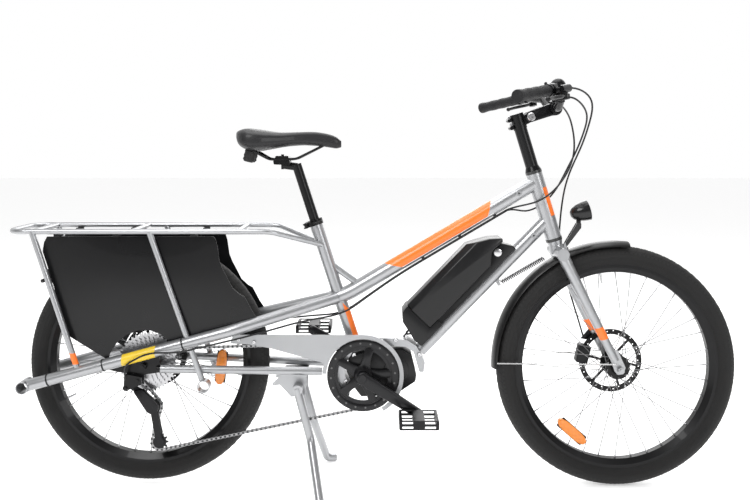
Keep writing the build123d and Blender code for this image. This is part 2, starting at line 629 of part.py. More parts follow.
keep("crank_arms", spindle, crank_arm(-1, crank_dir), crank_arm(1, crank_dir * -1))


def pedal(side, centre):
    """A platform pedal with open windows, turning on its spindle."""
    inner = side * (crank_outer_face + 2)
    outer = inner + side * PEDAL_WIDTH
    y_mid = (inner + outer) / 2
    body = Pos(centre.X, y_mid, centre.Z) * Box(PEDAL_LENGTH, PEDAL_WIDTH, PEDAL_THICKNESS)
    body = fillet(body.edges().filter_by(Axis.Y), 4)
    core = 15.0
    window = (PEDAL_LENGTH / 2 - core - 8) / 1.0
    for way in (-1, 1):
        middle = centre.X + way * (core + window / 2)
        body = body - Pos(middle, y_mid, centre.Z) * Box(window, PEDAL_WIDTH - 16, 60)
        body = body - Pos(middle, y_mid, centre.Z + PEDAL_THICKNESS / 4) * Box(window, 200, PEDAL_THICKNESS / 3.4)
        body = body - Pos(middle, y_mid, centre.Z - PEDAL_THICKNESS / 4) * Box(window, 200, PEDAL_THICKNESS / 3.4)
    pin_start = centre + Vector(0, side * CRANK_INNER_FACE, 0)
    pin_end = centre + Vector(0, outer - side * 12, 0)
    bore_end = centre + Vector(0, outer - side * 11, 0)
    pin = rod(pin_start, pin_end, PEDAL_SPINDLE_RADIUS)
    bore = rod(pin_start, bore_end, PEDAL_SPINDLE_RADIUS + SHAFT_CLEARANCE)
    return body - bore, pin


right_pedal, right_pin = pedal(-1, crank + crank_dir * CRANK_LENGTH)
left_pedal, left_pin = pedal(1, crank - crank_dir * CRANK_LENGTH)
keep("pedal_right", right_pedal)
keep("pedal_left", left_pedal)
keep("crank_arms", right_pin, left_pin)

# ---- cassette ----
hub_bore_radius = AXLE_RADIUS + SHAFT_CLEARANCE
on_index = SPROCKETS.index(CHAIN_ON)
cassette = cross_rod(0, AXLE_HEIGHT, 17, -dropout_inner + CLEARANCE, -30.5)
for number, teeth in enumerate(SPROCKETS):
    middle = -CHAIN_LINE + (number - on_index) * SPROCKET_SPACING
    disc_radius = chain_radius(teeth) - (CHAIN_HEIGHT / 2 + CLEARANCE if teeth == CHAIN_ON else 0)
    disc = cross_rod(0, AXLE_HEIGHT, disc_radius, middle - SPROCKET_THICKNESS / 2, middle + SPROCKET_THICKNESS / 2)
    cassette = cassette.fuse(disc)
cassette = cassette - cross_rod(0, AXLE_HEIGHT, hub_bore_radius, -100, 0)
keep("cassette", cassette)

# ---- chain ----
guide = rear_axle + Vector(GUIDE_PULLEY[0], -CHAIN_LINE, GUIDE_PULLEY[1])
tension = rear_axle + Vector(TENSION_PULLEY[0], -CHAIN_LINE, TENSION_PULLEY[1])
pulley_pitch = chain_radius(PULLEY_TEETH)


def tangent(a, ra, turn_a, b, rb, turn_b):
    """Where a straight run leaves circle a and reaches circle b; turn is 1 clockwise, -1 the other way."""
    way = complex(b.X - a.X, b.Z - a.Z)
    reach = abs(way)
    heading = math.atan2(way.imag, way.real)
    lift = math.asin((rb * turn_b - ra * turn_a) / reach)
    normal = heading + lift + math.pi / 2
    # a clockwise wheel carries the run on the left of its heading
    def touch(c, r, turn):
        return (c.X + math.cos(normal) * r * turn, c.Z + math.sin(normal) * r * turn)
    return touch(a, ra, turn_a), touch(b, rb, turn_b)


def chain_loop(grow):
    """The closed chain line, offset outwards or inwards by grow, as a flat face."""
    wheels = [
        (rear_axle, chain_radius(CHAIN_ON), 1), (crank, chain_radius(RING_TEETH), 1),
        (tension, pulley_pitch, 1), (guide, pulley_pitch, -1),
    ]
    runs = []
    for (a, ra, ta), (b, rb, tb) in zip(wheels, wheels[1:] + wheels[:1]):
        runs.append(tangent(a, ra + grow * ta, ta, b, rb + grow * tb, tb))
    edges = []
    for number, (leave, reach) in enumerate(runs):
        edges.append(Line(leave, reach))
        centre, radius, turn = wheels[(number + 1) % 4]
        radius += grow * turn
        onward = runs[(number + 1) % 4][0]
        first = math.atan2(reach[1] - centre.Z, reach[0] - centre.X)
        last = math.atan2(onward[1] - centre.Z, onward[0] - centre.X)
        sweep_angle = (first - last) * turn % (2 * math.pi)
        middle = first - turn * sweep_angle / 2
        edges.append(ThreePointArc(
            reach, (centre.X + radius * math.cos(middle), centre.Z + radius * math.sin(middle)), onward
        ))
    return make_face(edges)


chain_face = chain_loop(CHAIN_HEIGHT / 2) - chain_loop(-CHAIN_HEIGHT / 2)
chain = extrude(
    Plane((0, -CHAIN_LINE + CHAIN_WIDTH / 2, 0), x_dir=(1, 0, 0), z_dir=(0, -1, 0)) * chain_face, CHAIN_WIDTH
)
keep("chain", chain)

# ---- derailleur ----
pulley_core = pulley_pitch - CHAIN_HEIGHT / 2 - CLEARANCE
pulley_low, pulley_high = -CHAIN_LINE - PULLEY_THICKNESS / 2, -CHAIN_LINE + PULLEY_THICKNESS / 2
PULLEY_PIN_RADIUS = 3.0
SLIDE_X, SLIDE_Z = -44.0, AXLE_HEIGHT - 55.5   # pin that the derailleur slides on
SLIDE_PIN_RADIUS = 4.0
CAGE_THICKNESS = 2.0
CAGE_GAP = 1.4


def pulley(centre):
    disc = rod(Vector(centre.X, pulley_low, centre.Z), Vector(centre.X, pulley_high, centre.Z), pulley_core)
    bore = rod(Vector(centre.X, -90, centre.Z), Vector(centre.X, 0, centre.Z), PULLEY_PIN_RADIUS + SHAFT_CLEARANCE)
    return disc - bore


cage_outer = -CHAIN_LINE - CHAIN_WIDTH / 2 - CAGE_GAP
cage_inner = -CHAIN_LINE + CHAIN_WIDTH / 2 + CAGE_GAP


def cage_plate(y_low, y_high):
    length = (tension - guide)
    down = length.normalized()
    across = Vector(down.Z, 0, -down.X)
    corners = [guide + across * 11, tension + across * 9, tension - across * 9, guide - across * 11]
    body = plate([(c.X - REAR_AXLE_X, c.Z) for c in corners], y_low, y_high)
    for centre, radius in ((guide, 16), (tension, 14)):
        body = body.fuse(rod(Vector(centre.X, y_low, centre.Z), Vector(centre.X, y_high, centre.Z), radius))
    return body


def cage_pin(centre):
    return rod(
        Vector(centre.X, cage_outer - CAGE_THICKNESS, centre.Z),
        Vector(centre.X, cage_inner + CAGE_THICKNESS, centre.Z), PULLEY_PIN_RADIUS,
    )


cage = cage_plate(cage_outer - CAGE_THICKNESS, cage_outer).fuse(cage_plate(cage_inner, cage_inner + CAGE_THICKNESS))
cage = cage.fuse(cage_pin(guide)).fuse(cage_pin(tension))
cage_pivot_end = cage_outer - CAGE_THICKNESS - 13
cage = cage.fuse(rod(
    Vector(guide.X, cage_pivot_end, guide.Z), Vector(guide.X, cage_outer - CAGE_THICKNESS, guide.Z), 6
))
keep("derailleur_cage", cage)
keep("pulley_upper", pulley(guide))
keep("pulley_lower", pulley(tension))
knuckle_outer = cage_pivot_end - 2
knuckle_inner = cage_outer - CAGE_THICKNESS - CLEARANCE
knuckle = rod(Vector(guide.X, knuckle_outer, guide.Z), Vector(guide.X, knuckle_inner, guide.Z), 17)
arm_low = guide + Vector(-26, 0, 46)
gx, gz = guide.X - REAR_AXLE_X, guide.Z
link = plate(
    [(gx - 52, gz + 46), (gx - 26, gz + 50), (gx + 12, gz + 12), (gx + 6, gz - 14), (gx - 14, gz - 12)],
    knuckle_outer, knuckle_inner, 3,
)
pivot_bore = rod(
    Vector(guide.X, cage_pivot_end - 0.5, guide.Z), Vector(guide.X, knuckle_inner + 1, guide.Z), 6 + SHAFT_CLEARANCE
)
slide_pin_outer = -dropout_outer - 21
web_inner = knuckle_inner - 0.7
web_outer = web_inner - 5.5
slide_pin = cross_rod(SLIDE_X, SLIDE_Z, SLIDE_PIN_RADIUS, slide_pin_outer, web_inner)
slide_web = plate(
    [(SLIDE_X - 6, SLIDE_Z - 3), (SLIDE_X + 3, SLIDE_Z + 6), (gx - 30, gz + 49), (gx - 48, gz + 40)],
    web_outer, web_inner,
)
slide_web = slide_web.fuse(cross_rod(SLIDE_X, SLIDE_Z, 7, web_outer, web_inner))
arm_body = knuckle.fuse(link) - pivot_bore
keep("derailleur_arm", arm_body.fuse(slide_web).fuse(slide_pin))
base_low, base_high = -dropout_outer - 16, -dropout_outer
base_knuckle = plate(
    [(-48, AXLE_HEIGHT - 18), (-2, AXLE_HEIGHT - 26), (-2, AXLE_HEIGHT - 46), (-40, AXLE_HEIGHT - 62),
     (-50, AXLE_HEIGHT - 56)],
    base_low, base_high, 4,
)
EAR_DEPTH = 8.0             # of the base that carries the sliding pin
slide_bore = cross_rod(SLIDE_X, SLIDE_Z, SLIDE_PIN_RADIUS + SHAFT_CLEARANCE, -200, 0)
slide_room = plate(
    [(-70, AXLE_HEIGHT - 44), (-24, AXLE_HEIGHT - 44), (-24, AXLE_HEIGHT - 90), (-70, AXLE_HEIGHT - 90)],
    base_low + EAR_DEPTH, 0,
)
base_knuckle = base_knuckle.fuse(cross_rod(SLIDE_X, SLIDE_Z, 8, base_low, base_low + EAR_DEPTH))
base_knuckle = cut(base_knuckle, slide_bore, slide_room)
hanger_bolt = rod(hanger_hole + Vector(0, base_low - 3, 0), hanger_hole + Vector(0, -dropout_inner, 0), HANGER_BOLT_RADIUS)
base_knuckle = cut(base_knuckle, hanger_bolt)
keep("rear_dropouts", base_knuckle, hanger_bolt)

# ---- chain guard ----
guard_y = guard_ring_outer - 0.5
guard_inner_radius = RING_GUARD_RADIUS + GUARD_GAP
guard_radius = guard_inner_radius + GUARD_RIM
guard_outline = [
    (CX - 357, CZ + 113), (CX, CZ + guard_radius), (CX, CZ), (CX - 96, CZ + 30), (CX - 118, CZ + 38),
    (CX - 255, CZ + 76), (CX - 310, CZ + 86), (CX - 364, CZ + 89),
]
guard_sheet = plate(guard_outline, guard_y - GUARD_THICKNESS, guard_y)
guard_arc = cross_rod(CX, CZ, guard_radius, guard_y - GUARD_THICKNESS, guard_y)
guard_tail = plate(
    [(CX - 160, CZ + 8), (CX, CZ), (CX + 70, CZ - 120), (CX - 160, CZ - 160)],
    guard_y - 20, guard_y + 20,
)
guard_sheet = guard_sheet.fuse(guard_arc - guard_tail)
guard_sheet = guard_sheet - cross_rod(CX, CZ, guard_inner_radius, -90, 0)
guard_sheet = max(guard_sheet.solids(), key=lambda s: s.volume)
guard_boss_x = CX + math.cos(math.radians(60)) * (guard_inner_radius + GUARD_RIM / 2)
guard_boss_z = CZ + math.sin(math.radians(60)) * (guard_inner_radius + GUARD_RIM / 2)
guard_boss = cross_rod(guard_boss_x, guard_boss_z, 4, guard_y, -MOTOR_HALF_WIDTH - 2)
keep("chain_guard", guard_sheet.fuse(guard_boss))

# ---- wheels ----
def wheel_profile(points, centre):
    """A ring turned from an outline of (distance along Y, radius) points."""
    face = make_face(Polyline(*points, close=True))
    plane = Plane(centre, x_dir=(0, 1, 0), z_dir=(1, 0, 0))
    return revolve(plane * face, axis=Axis(centre, (0, 1, 0)))


def tyre(centre):
    plane = Plane(centre, x_dir=(0, 1, 0), z_dir=(1, 0, 0))
    middle = TYRE_RADIUS - TYRE_WIDTH / 2
    section = Pos(0, middle) * Circle(TYRE_WIDTH / 2)
    section = section - Pos(0, middle) * Circle(TYRE_WIDTH / 2 - TYRE_WALL)
    section = section - Pos(0, RIM_RADIUS - 50) * Rectangle(200, 100)
    return revolve(plane * section, axis=Axis(centre, (0, 1, 0)))


def rim(centre):
    bed = RIM_RADIUS - RIM_DEPTH
    half, wall = RIM_HALF_WIDTH, RIM_WALL
    points = [
        (-half, RIM_RADIUS), (-half, RIM_RADIUS - 9), (-half * 0.5, bed), (half * 0.5, bed),
        (half, RIM_RADIUS - 9), (half, RIM_RADIUS), (half - wall - 5, RIM_RADIUS), (half - wall - 5, RIM_RADIUS - wall),
        (half - wall, RIM_RADIUS - 9), (half * 0.5 - 1, bed + wall), (-half * 0.5 + 1, bed + wall),
        (-half + wall, RIM_RADIUS - 9), (-half + wall + 5, RIM_RADIUS - wall), (-half + wall + 5, RIM_RADIUS),
    ]
    return wheel_profile(points, centre)


SPOKE_SPLAY = 2.6
NIPPLE_SPLAY = 1.4


def spokes(centre, right_flange, left_flange):
    """Three-cross lacing: half of each flange's spokes lean forwards and half backwards."""
    solids = []
    rim_reach = RIM_RADIUS - RIM_DEPTH
    for number in range(SPOKES):
        side = -1 if number % 2 else 1
        leading = 1 if (number // 2) % 2 else -1
        rim_turn = 2 * math.pi * number / SPOKES
        hub_turn = rim_turn + leading * math.radians(60)
        flange = right_flange if side < 0 else left_flange
        hub_y = flange + leading * SPOKE_SPLAY
        rim_y = side * 2.5 + leading * NIPPLE_SPLAY
        start = centre + Vector(SPOKE_CIRCLE * math.cos(hub_turn), hub_y, SPOKE_CIRCLE * math.sin(hub_turn))
        end = centre + Vector(rim_reach * math.cos(rim_turn), rim_y, rim_reach * math.sin(rim_turn))
        solids.append(rod(start, end, SPOKE_RADIUS))
    return solids


FLANGE_HALF = 1.5
REAR_HUB_START = -28.6       # right-hand end of the rear hub, beside the largest sprocket


def hub(centre, y_low, y_high, right_flange, left_flange, barrel, rotor_offset):
    """A hub shell with two flanges and a seat for the brake rotor."""
    flange = HUB_FLANGE_RADIUS
    seat = rotor_offset - ROTOR_THICKNESS / 2
    points = [
        (y_low, hub_bore_radius), (y_low, barrel - 4), (right_flange - FLANGE_HALF, barrel),
        (right_flange - FLANGE_HALF, flange), (right_flange + FLANGE_HALF, flange),
        (right_flange + FLANGE_HALF, barrel), (left_flange - FLANGE_HALF, barrel),
        (left_flange - FLANGE_HALF, flange), (left_flange + FLANGE_HALF, flange),
        (left_flange + FLANGE_HALF, barrel + 4), (seat - 4, barrel + 4), (seat - 4, 27), (seat, 27),
        (seat, 18), (y_high - 2, 18), (y_high, 12), (y_high, hub_bore_radius),
    ]
    return wheel_profile(points, centre)


def brake_rotor(centre, offset_y):
    """A perforated disc with a swept carrier, bolted to the hub."""
    plane = Plane(centre + Vector(0, offset_y - ROTOR_THICKNESS / 2, 0), x_dir=(1, 0, 0), z_dir=(0, 1, 0))
    band = Circle(ROTOR_RADIUS) - Circle(ROTOR_RADIUS - ROTOR_BAND)
    carrier = Circle(27) - Circle(18)
    arms = Sketch()
    for number in range(6):
        arms += Rot(0, 0, 60 * number) * (Pos(50, 9) * Rot(0, 0, 14) * Rectangle(58, 7))
    holes = Sketch()
    for number in range(30):
        drift = (number % 3 - 1) * 3.4
        holes += Rot(0, 0, 12 * number) * (Pos(ROTOR_RADIUS - ROTOR_BAND / 2 + drift, 0) * Circle(1.9))
    face = band + (arms & Circle(ROTOR_RADIUS - 4) - Circle(22)) + carrier - holes
    return extrude(plane * face, ROTOR_THICKNESS)


front_half = FRONT_HUB_WIDTH / 2
keep("front_tyre", tyre(front_axle))
keep("front_rim", rim(front_axle))
keep("front_hub", hub(
    front_axle, -front_half + CLEARANCE, front_half - CLEARANCE, -29, 25, 20, FRONT_ROTOR_OFFSET
))
keep("front_hub", brake_rotor(front_axle, FRONT_ROTOR_OFFSET))
keep("rear_tyre", tyre(rear_axle))
keep("rear_rim", rim(rear_axle))
keep("rear_hub", hub(
    rear_axle, REAR_HUB_START, dropout_inner - CLEARANCE, -21, 32, 20, REAR_ROTOR_OFFSET
))
keep("rear_hub", brake_rotor(rear_axle, REAR_ROTOR_OFFSET))


def trimmed_spokes(centre, right_flange, left_flange, hub_shell, rim_ring):
    """Spokes end on the face of their flange and on the bed of the rim."""
    trimmed = []
    for spoke in spokes(centre, right_flange, left_flange):
        pieces = cut(spoke, hub_shell, rim_ring).solids()
        trimmed.append(max(pieces, key=lambda s: s.volume))
    return trimmed


keep("front_spokes", *trimmed_spokes(front_axle, -29, 25, NODES["front_hub"][0], NODES["front_rim"][0]))
keep("rear_spokes", *trimmed_spokes(rear_axle, -21, 32, NODES["rear_hub"][0], NODES["rear_rim"][0]))

# ---- fork ----
crown_race = FORK_LENGTH - CLEARANCE
steerer = rod(on_steerer(crown_race - 40), on_steerer(STEERER_TOP), STEERER_RADIUS)
steerer = steerer - rod(on_steerer(crown_race - 30), on_steerer(STEERER_TOP + 1), STEERER_RADIUS - 3)
race = cone(on_steerer(crown_race - 12), on_steerer(crown_race), 19, HEAD_TUBE_RADIUS)
CROWN_END = FORK_CROWN_SPREAD + 18
crown_span = rod(on_steerer(crown_race - 34, 1, -CROWN_END), on_steerer(crown_race - 34, 1, CROWN_END), 17)
crown_neck = cone(on_steerer(crown_race - 34), on_steerer(crown_race - 11), 22, 19)
leg_top = on_steerer(crown_race - 34, 1, -FORK_CROWN_SPREAD)
LEG_LUG = 32.0              # crown lug round the upper end of each leg
tip_back = Vector(-16, 0, 26)
leg_tip = front_axle + tip_back + Vector(0, -FORK_TIP_SPREAD, 0)
leg_dir = (leg_tip - leg_top).normalized()
leg_start = leg_top + leg_dir * LEG_LUG
lug = rod(leg_top, leg_start, FORK_LEG_RADIUS + 1.2)
crown = steerer.fuse(race).fuse(crown_neck).fuse(crown_span).fuse(lug).fuse(mirrored(lug))
leg = cone(leg_start, leg_tip, FORK_LEG_RADIUS, FORK_TIP_RADIUS)
leg_shape = leg
tip_outline = [(-34, 48), (-8, 54), (14, 6), (8, -12), (-8, -14), (-16, -4)]
fork_tip_inner = front_half
tip_plate = plate(
    [(WHEELBASE + x, TYRE_RADIUS + z) for x, z in tip_outline], -fork_tip_inner - DROPOUT_THICKNESS, -fork_tip_inner, 4
)
front_axle_hole = rod(front_axle - Vector(0, 200, 0), front_axle + Vector(0, 200, 0), AXLE_RADIUS)
fork_leg = leg_shape
fork_tip = cut(tip_plate, leg_shape, front_axle_hole)
keep("fork_crown", crown)
keep("fork_legs", *both(fork_leg), *both(max(fork_tip.solids(), key=lambda s: s.volume)))
front_axle_end = fork_tip_inner + DROPOUT_THICKNESS + 14
keep("fork_legs", rod(
    front_axle - Vector(0, front_axle_end, 0), front_axle + Vector(0, front_axle_end, 0), AXLE_RADIUS
))
fork_nut_inner = fork_tip_inner + DROPOUT_THICKNESS
keep("fork_legs", axle_nut(front_axle, -fork_nut_inner, -fork_nut_inner - 11))
keep("fork_legs", axle_nut(front_axle, fork_nut_inner, fork_nut_inner + 11))

# ---- fender ----
fender_inner = TYRE_RADIUS + FENDER_CLEARANCE
fender_outer = fender_inner + FENDER_THICKNESS
FENDER_FLANGE = 14.0
fender_points = [
    (-FENDER_HALF_WIDTH, fender_inner - FENDER_FLANGE), (-FENDER_HALF_WIDTH, fender_inner - 5),
    (-FENDER_HALF_WIDTH + 8, fender_outer), (FENDER_HALF_WIDTH - 8, fender_outer),
    (FENDER_HALF_WIDTH, fender_inner - 5), (FENDER_HALF_WIDTH, fender_inner - FENDER_FLANGE),
    (FENDER_HALF_WIDTH - FENDER_THICKNESS, fender_inner - FENDER_FLANGE),
    (FENDER_HALF_WIDTH - FENDER_THICKNESS, fender_inner - 6), (FENDER_HALF_WIDTH - 10, fender_inner),
    (-FENDER_HALF_WIDTH + 10, fender_inner), (-FENDER_HALF_WIDTH + FENDER_THICKNESS, fender_inner - 6),
    (-FENDER_HALF_WIDTH + FENDER_THICKNESS, fender_inner - FENDER_FLANGE),
]
fender_ring = wheel_profile(fender_points, front_axle)


def fan(centre, first, last, radius):
    """A wedge between two angles round a centre, in degrees above straight ahead."""
    points = [(centre.X - REAR_AXLE_X, centre.Z)]
    steps = 6
    for step in range(steps + 1):
        turn = math.radians(first + (last - first) * step / steps)
        points.append((points[0][0] + radius * math.cos(turn), points[0][1] + radius * math.sin(turn)))
    return plate(points, -300, 300)


fender = fender_ring & fan(front_axle, FENDER_FRONT_ANGLE, FENDER_REAR_ANGLE, 600)
fender = cut(fender, crown, leg_shape, mirrored(leg_shape))
fender = max(fender.solids(), key=lambda s: s.volume)
stay_turn = math.radians(FENDER_REAR_ANGLE - 3)
stay_foot = front_axle + Vector(
    (fender_inner - 9) * math.cos(stay_turn), -FENDER_HALF_WIDTH - STAY_RADIUS, (fender_inner - 9) * math.sin(stay_turn)
)
stay_eye = leg_tip + Vector(-4, -FORK_TIP_RADIUS - 4, -6)
stay = rod(stay_foot, stay_eye, STAY_RADIUS).fuse(rod(stay_eye + Vector(0, -2, 0), stay_eye + Vector(0, 6, 0), 4))
stay = cut(stay, leg_shape, tip_plate)
keep("front_fender", fender, *both(stay))

# ---- brake calipers ----
PAD_GAP = 0.4
PAD_THICKNESS = 2.0


def caliper(centre, rotor_y, outer_y):
    """A caliper body over the rotor's edge, with its two pads."""
    low = rotor_y - 15
    body = block(centre + Vector(-26, low, -17), centre + Vector(26, outer_y, 17), 3)
    slot_half = ROTOR_THICKNESS / 2 + PAD_GAP + PAD_THICKNESS
    slot = block(centre + Vector(-60, rotor_y - slot_half, -60), centre + Vector(60, rotor_y + slot_half, 8))
    pads = []
    for way in (-1, 1):
        face = rotor_y + way * (ROTOR_THICKNESS / 2 + PAD_GAP)
        back = face + way * PAD_THICKNESS
        pads.append(block(
            centre + Vector(-14, min(face, back), -14), centre + Vector(14, max(face, back), 6)
        ))
    return [body - slot] + pads


front_caliper_turn = math.radians(166)
front_caliper_centre = front_axle + Vector(math.cos(front_caliper_turn), 0, math.sin(front_caliper_turn)) * (ROTOR_RADIUS - 8)
rear_caliper_turn = math.radians(40)
rear_caliper_centre = rear_axle + Vector(math.cos(rear_caliper_turn), 0, math.sin(rear_caliper_turn)) * (ROTOR_RADIUS - 8)


def turned(shapes, centre, angle):
    return [shape.rotate(Axis(centre, (0, 1, 0)), angle) for shape in shapes]


front_shapes = turned(
    caliper(front_caliper_centre, FRONT_ROTOR_OFFSET, fork_tip_inner + 12), front_caliper_centre, -76
)
rear_shapes = turned(
    caliper(rear_caliper_centre, REAR_ROTOR_OFFSET, dropout_inner), rear_caliper_centre, 50
)
keep("front_caliper", cut(front_shapes[0], mirrored(leg_shape)), *front_shapes[1:])
keep("rear_caliper", *rear_shapes)
front_mount = plate(
    [(WHEELBASE - 58, TYRE_RADIUS + 56), (WHEELBASE - 30, TYRE_RADIUS + 90), (WHEELBASE - 48, TYRE_RADIUS + 100),
     (WHEELBASE - 82, TYRE_RADIUS + 60)],
    fork_tip_inner + 4, fork_tip_inner + 9,
)
front_mount = cut(front_mount, mirrored(leg_shape), front_shapes[0])
keep("front_caliper", max(front_mount.solids(), key=lambda s: s.volume))

# ---- headlight ----
lamp_pivot = on_steerer(crown_race + 22, 78)
lamp_centre = lamp_pivot + Vector(3, 0, 36)
lamp = Pos(*lamp_centre) * Rot(0, -14, 0) * Box(54, 58, 46)
lamp = fillet(lamp.edges().filter_by(Axis.Y), 8)
LAMP_PIN_RADIUS = 3.0
ear = rod(lamp_pivot + Vector(0, -5, 0), lamp_pivot + Vector(0, 5, 0), 7)
ear = ear.fuse(block(lamp_pivot + Vector(-5, -5, 0), lamp_pivot + Vector(7, 5, 18)))
lamp_bore = rod(lamp_pivot + Vector(0, -30, 0), lamp_pivot + Vector(0, 30, 0), LAMP_PIN_RADIUS + SHAFT_CLEARANCE)
keep("headlight", lamp.fuse(ear) - lamp_bore)
lamp_foot = on_steerer(crown_race - 30, 16)
fork_blade = []
for way in (-1, 1):
    y_low, y_high = sorted((way * (5 + CLEARANCE), way * (8 + CLEARANCE)))
    fx, fz = lamp_foot.X - REAR_AXLE_X, lamp_foot.Z
    px, pz = lamp_pivot.X - REAR_AXLE_X, lamp_pivot.Z
    blade = plate([(fx, fz - 5), (px + 6, pz - 7), (px + 6, pz + 6), (px - 6, pz + 6), (fx, fz + 9)], y_low, y_high)
    fork_blade.append(blade)
lamp_room = Pos(*lamp_centre) * Rot(0, -14, 0) * Box(54 + 6, 58 + 6, 46 + 6) - rod(
    lamp_pivot + Vector(0, -9, 0), lamp_pivot + Vector(0, 9, 0), 13
)
lamp_pin = rod(lamp_pivot + Vector(0, -10, 0), lamp_pivot + Vector(0, 10, 0), LAMP_PIN_RADIUS)
lamp_tie = block(lamp_foot + Vector(8, -8 - CLEARANCE, -4), lamp_foot + Vector(14, 8 + CLEARANCE, 6))
lamp_bracket = fork_blade[0].fuse(fork_blade[1]).fuse(lamp_pin).fuse(lamp_tie)
keep("fork_crown", cut(lamp_bracket, crown, fender, lamp_room))

# ---- stem base, spacers and steering spring ----
spacer = rod(on_steerer(SPACER_BOTTOM), on_steerer(SPACER_TOP), SPACER_RADIUS)
spacer = spacer.fuse(cone(on_steerer(SPACER_BOTTOM), on_steerer(SPACER_BOTTOM + 12), HEAD_TUBE_RADIUS, SPACER_RADIUS))
steerer_envelope = rod(on_steerer(SPACER_BOTTOM - 5), on_steerer(STEERER_TOP), STEERER_RADIUS)
pivot = at(*STEM_PIVOT)
clamp = at(*BAR_CLAMP)
STEM_CHEEK = 11.0
STEM_HALF = 24.0
STEM_PIN_RADIUS = 6.0
base_clamp = rod(on_steerer(SPACER_TOP), on_steerer(SPACER_TOP + STEM_BASE_HEIGHT), 19.5)
base_ears = []
for height in (10, STEM_BASE_HEIGHT - 12):
    eye = on_steerer(SPACER_TOP + height, -25)
    base_ears.append(rod(eye - Vector(0, 15, 0), eye + Vector(0, 15, 0), 6))
base_tongue = plate(
    [(pivot.X - REAR_AXLE_X - 34, SPACER_TOP * 0 + pivot.Z - 34), (pivot.X - REAR_AXLE_X + 8, pivot.Z - 12),
     (pivot.X - REAR_AXLE_X + 8, pivot.Z + 10), (pivot.X - REAR_AXLE_X - 30, pivot.Z + 2)],
    -STEM_HALF + STEM_CHEEK, STEM_HALF - STEM_CHEEK, 2,
)
stem_base = base_clamp.fuse(base_ears[0]).fuse(base_ears[1]).fuse(base_tongue)
stem_base = stem_base.fuse(rod(pivot - Vector(0, 13, 0), pivot + Vector(0, 13, 0), 14))
stem_base = stem_base.fuse(spacer)
stem_pin = rod(pivot - Vector(0, STEM_HALF + 3, 0), pivot + Vector(0, STEM_HALF + 3, 0), STEM_PIN_RADIUS)
stem_base = cut(stem_base, steerer_envelope, stem_pin)
keep("stem_base", max(stem_base.solids(), key=lambda s: s.volume))

spring_low = nose + down_dir * (down_length * 0.56) - down_out * (DOWN_TUBE_RADIUS + 10)
spring_high = on_steerer(crown_race - 36, -29)
SPRING_RADIUS = 6.0
spring_dir = (spring_high - spring_low).normalized()
keep("steering_spring", cut(rod(spring_low + spring_dir * 4, spring_high - spring_dir * 4, SPRING_RADIUS), crown))
spring_lug = rod(spring_low - Vector(0, 5, 0), spring_low + Vector(0, 5, 0), 5)
spring_strap = plate(
    [(spring_low.X - REAR_AXLE_X - 5, spring_low.Z), (spring_low.X - REAR_AXLE_X - 20, spring_low.Z + 16),
     (spring_low.X - REAR_AXLE_X - 4, spring_low.Z + 32), (spring_low.X - REAR_AXLE_X + 5, spring_low.Z)],
    -3, 3,
)
keep("down_tube", cut(spring_lug.fuse(spring_strap), down_envelope, NODES["steering_spring"][0]))

# ---- stem arm and handlebar ----
arm_dir = (clamp - pivot).normalized()
arm_across = Vector(-arm_dir.Z, 0, arm_dir.X)


def stem_cheek(y_low, y_high):
    corners = [
        pivot + arm_across * 15, clamp + arm_across * 17, clamp - arm_across * 17, pivot - arm_across * 15,
    ]
    body = plate([(c.X - REAR_AXLE_X, c.Z) for c in corners], y_low, y_high)
    for centre, radius in ((pivot, 15), (clamp, 20)):
        body = body.fuse(rod(Vector(centre.X, y_low, centre.Z), Vector(centre.X, y_high, centre.Z), radius))
    return body


stem_arm = stem_cheek(-STEM_HALF, STEM_HALF)
knuckle_room = rod(
    pivot - Vector(0, STEM_HALF - STEM_CHEEK + CLEARANCE, 0), pivot + Vector(0, STEM_HALF - STEM_CHEEK + CLEARANCE, 0), 44
)
bar_bore = rod(clamp - Vector(0, 60, 0), clamp + Vector(0, 60, 0), BAR_CLAMP_RADIUS)
pin_bore = rod(pivot - Vector(0, 60, 0), pivot + Vector(0, 60, 0), STEM_PIN_RADIUS + SHAFT_CLEARANCE)
stem_arm = cut(stem_arm, knuckle_room, bar_bore, pin_bore)
keep("stem_arm", stem_arm)
keep("stem_base", stem_pin)

grip_inner = at(GRIP_INNER[0], GRIP_INNER[1], -GRIP_INNER[2])
grip_outer = at(GRIP_OUTER[0], GRIP_OUTER[1], -GRIP_OUTER[2])
grip_dir = (grip_outer - grip_inner).normalized()
bar_rise = at(BAR_CLAMP[0] - 4, BAR_CLAMP[1] + 32, -124)
bar_run = [
    clamp + Vector(0, -STEM_HALF - 10, 0), clamp + Vector(0, -STEM_HALF - 36, 0), bar_rise,
    grip_inner - grip_dir * 22, grip_outer,
]
BAR_BENDS = [40.0, 46.0, 60.0]
half_bar = bent_pipe(bar_run, BAR_RADIUS, BAR_WALL, BAR_BENDS)
bar_middle = pipe(
    clamp - Vector(0, STEM_HALF + 12, 0), clamp + Vector(0, STEM_HALF + 12, 0), BAR_CLAMP_RADIUS,
    BAR_CLAMP_RADIUS - BAR_RADIUS + BAR_WALL,
)
bar_solid_middle = rod(clamp - Vector(0, STEM_HALF + 12, 0), clamp + Vector(0, STEM_HALF + 12, 0), BAR_CLAMP_RADIUS)
half_bar = cut(half_bar, bar_solid_middle)
half_bar = max(half_bar.solids(), key=lambda s: s.volume)
handlebar = bar_middle.fuse(half_bar).fuse(mirrored(half_bar))
keep("handlebar", handlebar)
bar_envelope = bent(bar_run, BAR_RADIUS, BAR_BENDS)

grip = rod(grip_inner, grip_outer + grip_dir * 4, GRIP_RADIUS)
grip = grip - rod(grip_inner - grip_dir, grip_outer, BAR_RADIUS)
keep("grips", *both(grip))

